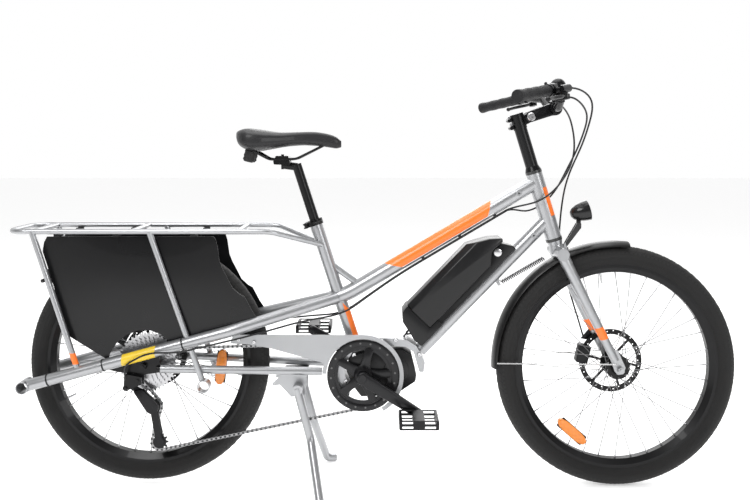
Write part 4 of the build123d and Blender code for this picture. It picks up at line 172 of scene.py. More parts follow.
class Shade:
    """One material, built from expressions."""

    def __init__(self, name):
        self.material = bpy.data.materials.new(name)
        self.material.use_nodes = True
        self.tree = self.material.node_tree
        self.surface = self.tree.nodes["Principled BSDF"]

    def node(self, kind, settings=None, inputs=None, output=0):
        made = self.tree.nodes.new(kind)
        for key, value in (settings or {}).items():
            if key == "stops":
                ramp = made.color_ramp
                while len(ramp.elements) < len(value):
                    ramp.elements.new(0.5)
                for element, (place, colour) in zip(ramp.elements, value):
                    element.position = place
                    element.color = colour
            else:
                setattr(made, key, value)
        for key, value in (inputs or {}).items():
            if isinstance(value, Wire):
                self.tree.links.new(value.socket, made.inputs[key])
            else:
                made.inputs[key].default_value = value
        return Wire(self, made.outputs[output])

    def set(self, **values):
        for key, value in values.items():
            socket = self.surface.inputs[key.replace("_", " ")]
            if isinstance(value, Wire):
                self.tree.links.new(value.socket, socket)
            else:
                socket.default_value = value

    def place(self):
        """The point on the piece, in metres, as a vector and three numbers."""
        point = self.node("ShaderNodeTexCoord", output="Object")
        split = self.tree.nodes.new("ShaderNodeSeparateXYZ")
        self.tree.links.new(point.socket, split.inputs[0])
        return point, [Wire(self, socket) for socket in split.outputs]

    def along(self, origin, direction):
        """Distance from origin along direction."""
        _, (x, y, z) = self.place()
        offset = -origin.dot(direction)
        return x * direction.x + y * direction.y + z * direction.z + offset

    def noise(self, scale, detail=3.0):
        point, _ = self.place()
        return self.node("ShaderNodeTexNoise", None, {"Vector": point, "Scale": scale, "Detail": detail})

    def mix(self, mask, first, second):
        settings = {"data_type": "RGBA"}
        return self.node("ShaderNodeMix", settings, {0: mask, 6: first, 7: second}, 2)

    def bump(self, height, distance):
        self.set(Normal=self.node("ShaderNodeBump", None, {"Height": height, "Distance": distance}))


def rgb(red, green, blue):
    return (red, green, blue, 1.0)


def scaled(colour, factor):
    return tuple(min(1.0, c * factor) for c in colour[:3]) + (1.0,)


SILVER = rgb(0.37, 0.375, 0.385)
BLACK = rgb(0.007, 0.007, 0.0075)
ORANGE = rgb(0.86, 0.17, 0.015)


def coated(name, colour, roughness=0.35, metallic=0.0, coat=0.0, grain=900.0, depth=0.00003, tone=0.12):
    """A paint, metal or plastic with slight drift in tone, worn gloss and fine grain."""
    shade = Shade(name)
    drift = shade.noise(9.0, 4.0)
    shade.colour = shade.mix(drift, scaled(colour, 1 - tone), scaled(colour, 1 + tone))
    shade.metal = metallic
    shade.set(Base_Color=shade.colour, Metallic=metallic, Coat_Weight=coat)
    if sum(colour[:3]) < 0.1:
        shade.set(Specular_IOR_Level=0.24)
    smear = shade.noise(38.0, 5.0)
    shade.set(Roughness=smear * (roughness * 0.35) + roughness * 0.82)
    shade.bump(shade.noise(grain, 2.0), depth)
    return shade


def over(shade, mask, colour):
    """Paint a patch of another colour over a finish."""
    shade.colour = shade.mix(mask, shade.colour, colour)
    bare = 1 - mask
    shade.metal = bare * shade.metal
    shade.set(Base_Color=shade.colour, Metallic=shade.metal)


def silver_paint(name):
    return coated(name, SILVER, 0.34, 0.8, 0.15, 1500.0, 0.00001, 0.04)


def top_tube_paint():
    shade = silver_paint("top_tube_silver_and_orange")
    run = shade.along(TOP_JOIN, TOP_DIR)
    rise = shade.along(TOP_JOIN, Vector((-TOP_DIR.z, 0, TOP_DIR.x)))
    lean = run + rise * 1.1
    slant, front, floor = -0.462, -0.158, -0.012
    panel = (lean > slant) * (run - rise * 0.9 < front) * (rise > floor)
    over(shade, panel, ORANGE)
    edge = (rise > floor - 0.0015) * (rise < floor) * (lean > slant) * (run < -0.15)
    over(shade, edge, rgb(0.93, 0.93, 0.93))
    return shade


def seat_tube_paint():
    shade = silver_paint("seat_tube_silver_and_orange")
    height = shade.along(CRANK, SEAT_UP)
    ahead = shade.along(CRANK, SEAT_AHEAD)
    over(shade, (height > 0.1) * (height + ahead * 2 < 0.21) * (ahead > 0.004) * (ahead < 0.0185), ORANGE)
    return shade


def head_tube_paint():
    shade = silver_paint("head_tube_silver_and_orange")
    height = shade.along(STEER_FOOT, STEER_UP)
    ahead = shade.along(STEER_FOOT, STEER_AHEAD)
    over(shade, (height > 0.455) * (height < 0.538) * (ahead > 0.008), ORANGE)
    lips = (height < 0.3925) + (height > 0.5815)
    over(shade, lips, rgb(0.02, 0.02, 0.02))
    return shade


def fork_paint():
    shade = silver_paint("fork_silver_and_orange")
    height = shade.along(STEER_FOOT, STEER_UP)
    over(shade, (height > 0.096) * (height < 0.131), ORANGE)
    ahead = shade.along(STEER_FOOT, STEER_AHEAD)
    over(shade, (height > 0.3) * (ahead > 0.027), rgb(0.012, 0.012, 0.013))
    return shade


def rail_paint():
    shade = silver_paint("side_rail_silver")
    _, (x, y, _) = shade.place()
    strip = (x > -0.688) * (x < -0.598) * (y < -0.094)
    over(shade, strip, rgb(0.72, 0.50, 0.03))
    return shade


def strut_paint():
    shade = silver_paint("strut_silver_and_orange")
    _, (x, _, z) = shade.place()
    over(shade, (z > 0.362) * (z < 0.392) * (x < -0.74), ORANGE)
    return shade


def tyre_rubber(name, centre):
    """Rubber with tread blocks across the crown and fine ribs on the side walls."""
    shade = Shade(name)
    _, (x, y, z) = shade.place()
    across = x - centre.x
    above = z - centre.z
    turn = shade.node("ShaderNodeMath", {"operation": "ARCTAN2"}, {0: above, 1: across})
    reach = (across * across + above * above).power(0.5)
    crown, bend, wall, blocks_round = 0.3215, 0.3165, 0.306, 84
    tread = reach > crown
    stagger = (y.absolute() * 120.0).sine() * 0.35
    lengthwise = (turn * (blocks_round / math.tau) + stagger).fraction()
    crosswise = (y * 108.0 + 0.5).fraction()
    groove = (lengthwise > 0.82) + (crosswise > 0.86)
    blocks = tread * (1 - groove.power(0.01))
    shoulder = (reach > bend) * (reach < crown)
    lugs = shoulder * ((turn * (2 * blocks_round / math.tau)).fraction() > 0.45)
    ribs = (reach < wall) * ((reach * 520.0).fraction() > 0.6) * 0.25
    grime = shade.noise(26.0, 5.0)
    shade.colour = shade.mix(grime, rgb(0.006, 0.006, 0.0065), rgb(0.013, 0.0125, 0.012))
    # The tread blocks and shoulder lugs are coloured lighter than the grooves and the rest of the rubber.
    raised_tread = tread * (1 - groove)
    shade.colour = shade.mix(raised_tread * 0.6 + lugs * 0.5, shade.colour, rgb(0.022, 0.0215, 0.021))
    shade.set(Base_Color=shade.colour, Roughness=grime * 0.12 + 0.62)
    shade.set(Specular_IOR_Level=0.3)
    height = blocks * 0.3 + lugs * 0.3 + ribs + shade.noise(700.0, 2.0) * 0.06
    shade.bump(height, 0.003)
    return shade


def skirt_plastic():
    """Smooth black sheet with a soft sheen and faint scuffs."""
    shade = coated("skirt_black_sheet", rgb(0.004, 0.004, 0.0045), 0.26, 0.0, 0.12, 260.0, 0.00004, 0.25)
    scuffs = shade.noise(4.0, 8.0)
    shade.set(Roughness=scuffs * 0.16 + 0.2)
    return shade


def leather():
    shade = coated("saddle_cover", rgb(0.016, 0.016, 0.017), 0.46, 0.0, 0.1, 420.0, 0.00012, 0.2)
    point, _ = shade.place()
    cells = shade.node("ShaderNodeTexVoronoi", None, {"Vector": point, "Scale": 520.0})
    shade.bump(cells, 0.00018)
    return shade


def amber(name):
    """Moulded reflector: rows of small prisms under a clear amber face."""
    shade = Shade(name)
    _, (x, _, z) = shade.place()
    prisms = (x * 260.0).fraction() + (z * 260.0).fraction()
    tone = shade.mix(prisms * 0.5, rgb(0.62, 0.10, 0.0), rgb(1.0, 0.36, 0.02))
    shade.set(Base_Color=tone, Roughness=prisms * 0.05 + 0.12, Coat_Weight=0.6)
    shade.bump(prisms, 0.0006)
    return shade


def lens(name, colour, ridge):
    """A clear cover with level ridges, and ridge of them in a metre."""
    shade = Shade(name)
    _, (_, _, z) = shade.place()
    rows = (z * ridge).fraction()
    tone = shade.mix(rows, colour, scaled(colour, 0.55))
    shade.set(Base_Color=tone, Roughness=rows * 0.08 + 0.06, Coat_Weight=0.8)
    shade.bump(rows, 0.0005)
    return shade


def steel(name, colour=rgb(0.52, 0.52, 0.53), roughness=0.28):
    return coated(name, colour, roughness, 1.0, 0.0, 1400.0, 0.00002, 0.15)


def ribbed_rubber():
    shade = coated("grip_rubber", rgb(0.014, 0.014, 0.015), 0.62, 0.0, 0.0, 900.0, 0.00006, 0.2)
    run = shade.along(GRIP_INNER, (GRIP_OUTER - GRIP_INNER).normalized())
    shade.bump((run * 330.0).fraction() + shade.noise(1300.0, 2.0) * 0.3, 0.0005)
    return shade


def cable_jacket():
    return coated("cable_jacket", rgb(0.012, 0.012, 0.013), 0.42, 0.0, 0.1, 1800.0, 0.00003, 0.2)


def guard_metal():
    """Brushed light alloy."""
    return coated("guard_brushed_alloy", rgb(0.36, 0.365, 0.375), 0.42, 0.5, 0.1, 700.0, 0.00001, 0.05)


# ---------------------------------------------------------------- modelling


def nothing_selected():
    if bpy.context.object and bpy.context.object.mode != "OBJECT":
        bpy.ops.object.mode_set(mode="OBJECT")
    bpy.ops.object.select_all(action="DESELECT")


def only(piece):
    nothing_selected()
    piece.select_set(True)
    bpy.context.view_layer.objects.active = piece


def edit(piece):
    only(piece)
    bpy.ops.object.mode_set(mode="EDIT")
    bpy.ops.mesh.select_all(action="SELECT")


def done():
    bpy.ops.object.mode_set(mode="OBJECT")


def bevelled(piece, width, segments=3, angle=30):
    if width:
        only(piece)
        modifier = piece.modifiers.new("Bevel", "BEVEL")
        modifier.width = width
        modifier.segments = segments
        modifier.limit_method = "ANGLE"
        modifier.angle_limit = math.radians(angle)
        bpy.ops.object.modifier_apply(modifier=modifier.name)
    return piece


def smooth(piece, angle=35):
    only(piece)
    bpy.ops.object.shade_smooth_by_angle(angle=math.radians(angle))
    return piece


def loop(name, points, filled):
    """A ring of vertices moved one by one to a drawn outline."""
    nothing_selected()
    kind = "NGON" if filled else "NOTHING"
    bpy.ops.mesh.primitive_circle_add(vertices=len(points), fill_type=kind, location=(0, 0, 0))
    piece = bpy.context.object
    piece.name = name
    for vertex, point in zip(piece.data.vertices, points):
        vertex.co = point
    return piece


def outward(piece):
    edit(piece)
    bpy.ops.mesh.remove_doubles(threshold=0.00001)
    bpy.ops.mesh.normals_make_consistent(inside=False)
    done()
    return piece


def turned(name, outline, centre, steps=96, axis=Vector((0, 1, 0)), first=0.0, sweep=math.tau):
    """Spin a closed outline of (along the axis, radius) points about an axis through centre."""
    axis = axis.normalized()
    side = axis.orthogonal().normalized() if abs(axis.y) < 0.999 else Vector((1, 0, 0))
    side = Matrix.Rotation(first, 3, axis) @ side
    points = [centre + axis * along + side * radius for along, radius in outline]
    piece = loop(name, points, sweep < math.tau)
    edit(piece)
    bpy.ops.mesh.spin(steps=steps, angle=sweep, center=centre, axis=axis)
    done()
    return smooth(outward(piece), 40)


def slab(name, points, thickness, bevel=0.0, segments=2):
    """A plate: an outline pulled out to a thickness along a vector, with eased edges."""
    piece = loop(name, points, True)
    edit(piece)
    bpy.ops.mesh.extrude_region_move(TRANSFORM_OT_translate={"value": thickness})
    done()
    outward(piece)
    bevelled(piece, bevel, segments)
    return smooth(piece)


def brick(name, centre, size, bevel, direction=None, segments=3):
    nothing_selected()
    bpy.ops.mesh.primitive_cube_add(size=1, location=(0, 0, 0))
    piece = bpy.context.object
    piece.name = name
    turn = direction or Matrix.Identity(3)
    piece.data.transform(Matrix.Diagonal(Vector(size).to_4d()))
    bevelled(piece, bevel, segments)
    piece.data.transform(turn.to_4x4())
    piece.data.transform(Matrix.Translation(centre))
    return smooth(piece)


def peg(name, start, end, radius, end_radius=None, sides=32, bevel=0.0):
    """A round bar or cone between two points."""
    nothing_selected()
    run = end - start
    bpy.ops.mesh.primitive_cone_add(
        vertices=sides, radius1=radius, radius2=radius if end_radius is None else end_radius, depth=run.length
    )
    piece = bpy.context.object
    piece.name = name
    bevelled(piece, bevel, 2)
    turn = Vector((0, 0, 1)).rotation_difference(run).to_matrix().to_4x4()
    piece.data.transform(Matrix.Translation((start + end) / 2) @ turn)
    return smooth(piece)


def wire_piece(name, points, radius, sides=8):
    """A smooth round wire through a route."""
    nothing_selected()
    curve = bpy.data.curves.new(name, "CURVE")
    curve.dimensions = "3D"
    curve.bevel_depth = radius
    curve.bevel_resolution = sides // 2
    curve.use_fill_caps = True
    spline = curve.splines.new("NURBS")
    spline.points.add(len(points) - 1)
    for knot, point in zip(spline.points, points):
        knot.co = (*point, 1.0)
    spline.order_u = 4
    spline.use_endpoint_u = True
    spline.resolution_u = 6
    piece = linked(name, curve)
    only(piece)
    bpy.ops.object.convert(target="MESH")
    piece = bpy.context.object
    return smooth(piece)


def joined(name, pieces):
    nothing_selected()
    for piece in pieces:
        piece.select_set(True)
    bpy.context.view_layer.objects.active = pieces[0]
    if len(pieces) > 1:
        bpy.ops.object.join()
    result = bpy.context.object
    result.name = name
    return result


def linked(name, data):
    piece = bpy.data.objects.new(name, data)
    bpy.context.scene.collection.objects.link(piece)
    return piece


def from_bmesh(name, mesh):
    """A piece from a finished bmesh, which is freed."""
    data = bpy.data.meshes.new(name)
    mesh.to_mesh(data)
    mesh.free()
    return linked(name, data)


def repeated(name, pattern, places):
    """Copies of one small piece, each moved by a matrix, as one piece."""
    mesh = bmesh.new()
    for place in places:
        start = len(mesh.verts)
        mesh.from_mesh(pattern.data)
        mesh.verts.ensure_lookup_table()
        bmesh.ops.transform(mesh, matrix=place, verts=mesh.verts[start:])
    result = from_bmesh(name, mesh)
    bpy.data.objects.remove(pattern)
    return smooth(result)


def copied(source, name):
    copy = source.copy()
    copy.data = source.data.copy()
    copy.name = name
    bpy.context.scene.collection.objects.link(copy)
    return copy


def mirrored_copy(piece, name):
    copy = copied(piece, name)
    copy.data.transform(Matrix.Diagonal((1, -1, 1, 1)))
    copy.data.flip_normals()
    return copy


def finish_piece(piece, body, shade, replaces=()):
    piece.data.materials.clear()
    piece.data.materials.append(shade.material)
    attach(piece, body)
    if replaces:
        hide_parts(*replaces)
    return piece


def softened(node, body, shade, width):
    """Replace a carried-over part by a merged copy with eased edges."""
    source = NODES[node]
    piece = copied(source, node + "_eased")
    piece.data.transform(source.matrix_world)
    piece.parent = None
    piece.matrix_world = Matrix.Identity(4)
    edit(piece)
    bpy.ops.mesh.remove_doubles(threshold=0.00002)
    bpy.ops.mesh.dissolve_limited(angle_limit=math.radians(1.0))
    bpy.ops.mesh.normals_make_consistent(inside=False)
    done()
    bevelled(piece, width, 2, 38)
    smooth(piece, 40)
    return finish_piece(piece, body, shade, (node,))


def dress(node, shade):
    """Give a carried-over part a new finish."""
    piece = NODES[node]
    piece.data.materials.clear()
    piece.data.materials.append(shade.material)
    return piece


# ---------------------------------------------------------------- settings


class BicycleSettings(bpy.types.PropertyGroup):
    tread_steps: bpy.props.IntProperty(
        name="Tyre steps", description="Facets round each tyre", default=144, min=32, max=256
    )
    tread_blocks: bpy.props.IntProperty(
        name="Tread blocks", description="Blocks in each row of the tread", default=92, min=24, max=160
    )
    skirt_bulge: bpy.props.FloatProperty(
        name="Skirt bulge", description="How far each skirt bows outwards", default=0.007, unit="LENGTH"
    )
    floor_colour: bpy.props.FloatVectorProperty(
        name="Floor colour", description="Colour of the studio floor", default=(0.93, 0.93, 0.93), size=3,
        subtype="COLOR", min=0.0, max=1.0,
    )


def settings():
    return bpy.context.scene.cargo_bicycle


# ---------------------------------------------------------------- operators


class PaintFrame(bpy.types.Operator):
    """Give every carried-over part of the frame its finish"""

    bl_idname = "bicycle.paint_frame"
    bl_label = "Paint the frame"

    def execute(self, context):
        plain = silver_paint("frame_silver")
        for node in ("down_tube", "loader_sockets", "chainstays", "rack", "motor_cradle"):
            dress(node, plain)
        dress("top_tube", top_tube_paint())
        dress("seat_tube", seat_tube_paint())
        dress("head_tube", head_tube_paint())
        dress("side_rails", rail_paint())
        dress("rack_struts", strut_paint())
        fork = fork_paint()
        dress("fork_legs", fork)
        dress("fork_crown", fork)
        black = coated("satin_black", BLACK, 0.34, 0.35, 0.1, 1200.0, 0.00002, 0.2)
        for node in (
            "rear_dropouts", "front_hub", "rear_hub", "front_rim", "rear_rim", "stem_base", "stem_arm",
            "handlebar", "front_caliper", "rear_caliper", "bar_controls", "brake_lever_right",
            "brake_lever_left", "derailleur_arm", "derailleur_cage", "seatpost", "seat_clamp", "clamp_lever",
        ):
            dress(node, black)
        plastic = coated("moulded_black", rgb(0.016, 0.016, 0.017), 0.5, 0.0, 0.0, 520.0, 0.00008, 0.2)
        for node in (
            "battery_holder", "battery", "motor_housing", "pulley_upper", "pulley_lower", "shift_lever",
            "assist_button", "bell_striker", "pedal_right", "pedal_left", "tail_light", "ties_and_screws",
        ):
            dress(node, plastic)
        bright = steel("stainless_wire", rgb(0.20, 0.20, 0.205), 0.3)
        for node in ("front_spokes", "rear_spokes"):
            dress(node, bright)
        dress("stand_legs", silver_paint("stand_silver"))
        dress("chain_guard", guard_metal())
        jacket = cable_jacket()
        dress("frame_cables", jacket)
        dress("bar_cables", jacket)
        return {"FINISHED"}


def tyre(name, centre, body, node):
    """A round tyre with a flatter crown, a shoulder line and a bead."""
    half, middle, bead = 0.030, 0.3065, 139
    turns = [math.radians(bead * (step / 12 - 1)) for step in range(25)]
    outline = []
    for turn in turns:
        squash = 1.0 - 0.06 * max(0.0, math.cos(turn)) ** 2
        outline.append((math.sin(turn) * half, middle + math.cos(turn) * half * squash))
    for turn in reversed(turns):
        outline.append((math.sin(turn) * (half - 0.0035), middle + math.cos(turn) * (half - 0.004)))
    carcass = turned(name, outline, centre, settings().tread_steps)
    count = settings().tread_blocks
    block = brick("block", Vector((0, 0, 0)), (0.0135, 0.0074, 0.0034), 0.0006, None, 1)
    places = []
    rows = ((-58, 0.5), (-38, 0.0), (-13, 0.5), (13, 0.0), (38, 0.5), (58, 0.0))
    for row, (across, offset) in enumerate(rows):
        lean = math.radians(across)
        sideways = Vector((0, math.sin(lean), 0))
        skew = Matrix.Rotation(math.radians(20 if row % 2 else -20), 4, "Z")
        for number in range(count):
            turn = math.tau * (number + offset) / count
            ray = around(turn)
            up = ray * math.cos(lean) + sideways
            tangent = Vector((-math.sin(turn), 0, math.cos(turn)))
            face = Matrix((tangent, up.cross(tangent), up)).transposed().to_4x4()
            reach = middle + math.cos(lean) * (half - 0.0032)
            spot = centre + ray * reach + sideways * (half - 0.0018)
            places.append(Matrix.Translation(spot) @ face @ skew)
    piece = joined(name, [carcass, repeated("blocks", block, places)])
    return finish_piece(piece, body, tyre_rubber(name + "_rubber", centre), (node,))


class MakeTyres(bpy.types.Operator):
    """Make both tyres, their valves and their wheel reflectors"""

    bl_idname = "bicycle.make_tyres"
    bl_label = "Make the tyres"

    def execute(self, context):
        tyre("front_tyre_tread", FRONT_AXLE, "front_wheel", "front_tyre")
        tyre("rear_tyre_tread", REAR_AXLE, "rear_wheel", "rear_tyre")
        glow = amber("amber_reflector")
        clip = coated("reflector_clip", BLACK, 0.5)
        for body, centre, turn, reach, lean in (
            ("front_wheel", FRONT_AXLE, 237, 0.224, 8), ("rear_wheel", REAR_AXLE, -6, 0.200, 0),
        ):
            middle = centre + around(math.radians(turn)) * reach
            tilt = Matrix.Rotation(math.radians(90 - turn + lean), 3, "Y")
            rim = []
            for step in range(40):
                way = around(math.tau * step / 40)
                rim.append(middle + tilt @ Vector((
                    signed_power(way.x, 0.6) * 0.049, -0.0105, signed_power(way.z, 0.75) * 0.0145
                )))
            face = slab(body + "_reflector", rim, aside(0.017), 0.003, 3)
            finish_piece(face, body, glow)
            seat = middle + aside(-0.002)
            holder = brick(body + "_reflector_clip", seat, (0.088, 0.008, 0.031), 0.004, tilt)
            finish_piece(holder, body, clip)
        bright = steel("valve_steel")
        for body, centre, turn, flanges in (
            ("front_wheel", FRONT_AXLE, 99, (-0.029, 0.025)),
            ("rear_wheel", REAR_AXLE, 205, (-0.021, 0.032)),
        ):
            out = around(math.radians(turn))
            stem = peg(body + "_valve", centre + out * 0.2625, centre + out * 0.232, 0.0032, 0.0026, 16)
            finish_piece(stem, body, bright)
            sleeve = peg("nipple", Vector((0, 0, 0)), Vector((0, 0, 0.014)), 0.0023, 0.0019, 8)
            places = []
            for number in range(SPOKES):
                side = -1 if number % 2 else 1
                leading = 1 if (number // 2) % 2 else -1
                turn = math.tau * number / SPOKES
                flange = flanges[0] if side < 0 else flanges[1]
                top = centre + around(turn, 0.262, side * 0.0025 + leading * 0.0014)
                foot = centre + around(turn + leading * math.radians(60), 0.029, flange)
                face = Vector((0, 0, 1)).rotation_difference(foot - top).to_matrix().to_4x4()
                places.append(Matrix.Translation(top) @ face)
            nipples = repeated(body + "_nipples", sleeve, places)
            finish_piece(nipples, body, bright)
        return {"FINISHED"}


def cog_outline(teeth, phase=0.0, depth=0.0042):
    """Points (radius, turn) round a toothed wheel."""
    pitch = pitch_radius(teeth)
    points = []
    for tooth in range(teeth):
        middle = math.tau * (tooth + phase) / teeth
        gap = math.tau / teeth
        for radius, part in (
            (pitch - depth, -0.30), (pitch - depth * 0.1, -0.2), (pitch + depth * 0.45, -0.07),
            (pitch + depth * 0.45, 0.07), (pitch - depth * 0.1, 0.2), (pitch - depth, 0.30),
        ):
            points.append((radius, middle + gap * part))
    return points


def cog(name, centre, teeth, thickness, hole, phase=0.0):
    """A toothed wheel with an open middle, its faces in planes across the axle."""
    outer = cog_outline(teeth, phase)
    count = len(outer)
    mesh = bmesh.new()
    rings = []
    for y in (-thickness / 2, thickness / 2):
        outside = [mesh.verts.new(centre + around(turn, radius, y)) for radius, turn in outer]
        inside = [mesh.verts.new(centre + around(turn, hole, y)) for _, turn in outer]
        rings.append((outside, inside))
    for index in range(count):
        after = (index + 1) % count
        (low_out, low_in), (high_out, high_in) = rings
        mesh.faces.new((low_out[index], low_out[after], low_in[after], low_in[index]))
        mesh.faces.new((high_in[index], high_in[after], high_out[after], high_out[index]))
        mesh.faces.new((low_out[after], low_out[index], high_out[index], high_out[after]))
        mesh.faces.new((low_in[index], low_in[after], high_in[after], high_in[index]))
    bmesh.ops.recalc_face_normals(mesh, faces=mesh.faces)
    return smooth(from_bmesh(name, mesh), 30)


class MakeSprockets(bpy.types.Operator):
    """Make the rear sprockets and the derailleur pulleys"""

    bl_idname = "bicycle.make_sprockets"
    bl_label = "Make the sprockets"

    def execute(self, context):
        bright = steel("sprocket_steel", rgb(0.46, 0.46, 0.47), 0.3)
        teeth_counts = (11, 13, 15, 17, 20, 23, 26, 30, 34, 40)
        straight, spacing, largest_plain = teeth_counts.index(GEAR_TEETH), 0.00395, 23
        pieces = []
        for number, teeth in enumerate(teeth_counts):
            middle = CHAIN_Y + (number - straight) * spacing
            radius = pitch_radius(teeth)
            hole = max(0.0155, radius - 0.017) if teeth > largest_plain else 0.0165
            pieces.append(cog("cog", REAR_AXLE + aside(middle), teeth, 0.0016, hole, number * 0.3))
            if teeth > largest_plain:
                corners = ((0.014, -0.006), (radius - 0.014, 0.001), (radius - 0.014, 0.009), (0.014, 0.007))
                outline = [Vector((x, middle - 0.0007, z)) for x, z in corners]
                arm = slab("arm", outline, aside(0.0014))
                turns = [
                    Matrix.Translation(REAR_AXLE) @ Matrix.Rotation(math.tau * k / 6 + number * 0.2, 4, "Y")
                    for k in range(6)
                ]
                pieces.append(repeated("arms", arm, turns))
        pieces.append(turned("carrier", [
            (-0.067, 0.0055), (-0.067, 0.013), (-0.064, 0.0168), (-0.031, 0.0168), (-0.031, 0.0055),
        ], REAR_AXLE, 48))
        finish_piece(joined("sprocket_stack", pieces), "sprockets", bright, ("cassette",))
        black = coated("pulley_black", rgb(0.02, 0.02, 0.021), 0.5, 0.0, 0.0, 800.0, 0.00004, 0.2)
        bush = [(-0.0015, 0.0031), (-0.0015, 0.0105), (0.0015, 0.0105), (0.0015, 0.0031)]
        for name, centre, body, node in (
            ("guide_wheel", GUIDE, "guide_pulley", "pulley_upper"),
            ("tension_wheel", TENSION, "tension_pulley", "pulley_lower"),
        ):
            wheel = cog(name, centre, PULLEY_TEETH, 0.0026, 0.0095)
            ring = turned("bush", bush, centre, 32)
            finish_piece(joined(name, [wheel, ring]), body, black, (node,))
        return {"FINISHED"}


def chain_places():
    """Evenly spaced points and headings round the chain's closed line."""
    wheels = [
        (REAR_AXLE, pitch_radius(GEAR_TEETH), 1), (CRANK, pitch_radius(RING_TEETH), 1),
        (TENSION, pitch_radius(PULLEY_TEETH), 1), (GUIDE, pitch_radius(PULLEY_TEETH), -1),
    ]
    runs = []
    for (a, ra, ta), (b, rb, tb) in zip(wheels, wheels[1:] + wheels[:1]):
        way = Vector((b.x - a.x, b.z - a.z))
        heading = math.atan2(way.y, way.x)
        normal = heading + math.asin((rb * tb - ra * ta) / way.length) + math.pi / 2
        side = Vector((math.cos(normal), math.sin(normal)))
        runs.append((Vector((a.x, a.z)) + side * ra * ta, Vector((b.x, b.z)) + side * rb * tb))
    line = []
    for index, (leave, reach) in enumerate(runs):
        steps = max(2, int((reach - leave).length / 0.004))
        line += [leave.lerp(reach, k / steps) for k in range(steps)]
        centre, radius, turn = wheels[(index + 1) % 4]
        middle = Vector((centre.x, centre.z))
        onward = runs[(index + 1) % 4][0]
        first = math.atan2(*(reach - middle).yx)
        last = math.atan2(*(onward - middle).yx)
        swing = (first - last) * turn % math.tau
        steps = max(2, int(swing * radius / 0.002))
        for k in range(steps):
            angle = first - turn * swing * k / steps
            line.append(middle + Vector((math.cos(angle), math.sin(angle))) * radius)
    lengths = [0.0]
    for a, b in zip(line, line[1:] + line[:1]):
        lengths.append(lengths[-1] + (b - a).length)
    count = round(lengths[-1] / LINK / 2) * 2
    places, index = [], 0
    for number in range(count):
        want = lengths[-1] * number / count
        while lengths[index + 1] < want:
            index += 1
        a, b = line[index], line[(index + 1) % len(line)]
        part = (want - lengths[index]) / (lengths[index + 1] - lengths[index])
        places.append(a.lerp(b, part))
    return places


class MakeChain(bpy.types.Operator):
    """Make the chain link by link along its closed line"""

    bl_idname = "bicycle.make_chain"
    bl_label = "Make the chain"

    def execute(self, context):
        places = chain_places()
        tip, waist, thickness = 0.0040, 0.0028, 0.0006
        depths = {"outer": 0.0026, "inner": 0.0019}
        outline = []
        for end in (-1, 1):
            for step in range(8):
                turn = math.pi * step / 7 - end * math.pi / 2
                outline.append(around(turn, tip) + Vector((end * LINK / 2, 0, 0)))
            outline.append(Vector((0, 0, end * waist)))
        spots = {"outer": [], "inner": [], "pin": []}
        for number, here in enumerate(places):
            after = places[(number + 1) % len(places)]
            middle = (here + after) / 2
            way = after - here
            turn = Matrix.Rotation(-math.atan2(way.y, way.x), 4, "Y")
            kind = "outer" if number % 2 else "inner"
            for side in (-1, 1):
                y = CHAIN_Y + side * depths[kind]
                spots[kind].append(Matrix.Translation((middle.x, y, middle.y)) @ turn)
            spots["pin"].append(Matrix.Translation((here.x, CHAIN_Y, here.y)))
        pieces = []
        for kind in ("outer", "inner"):
            plate = slab("plate", [p - aside(thickness / 2) for p in outline], aside(thickness))
            pieces.append(repeated(kind + "_plates", plate, spots[kind]))
        roller = peg("roller", aside(-0.0029), aside(0.0029), 0.0030, None, 12)
        pieces.append(repeated("rollers", roller, spots["pin"]))
        shade = steel("chain_steel", rgb(0.33, 0.33, 0.335), 0.34)
        finish_piece(joined("chain_links", pieces), "frame", shade, ("chain",))
        return {"FINISHED"}


def crank_arm(name, side, direction):
    """A crank arm that tapers and thins towards the pedal."""
    end = CRANK + direction * CRANK_LENGTH
    across = Vector((-direction.z, 0, direction.x))
    points = []
    for middle, first, radius in ((CRANK, 90, 0.0175), (end, -90, 0.013)):
        for step in range(13):
            turn = math.radians(first + 180 * step / 12)
            rim = middle + (direction * math.cos(turn) + across * math.sin(turn)) * radius
            points.append(rim + aside(side * CRANK_INNER))
    arm = slab(name, points, aside(side * 0.014), 0.004, 3)
    profile = ((0.0925, 0.0), (0.0925, 0.011), (0.094, 0.010), (0.094, 0.0))
    cap = turned(name + "_cap", [(side * y, radius) for y, radius in profile], CRANK, 32)
    inner, outer = (end + aside(side * y) for y in (0.0785, 0.0965))
    axle = peg(name + "_axle", inner, outer, 0.0075, None, 24, 0.001)
    return [arm, cap, axle]


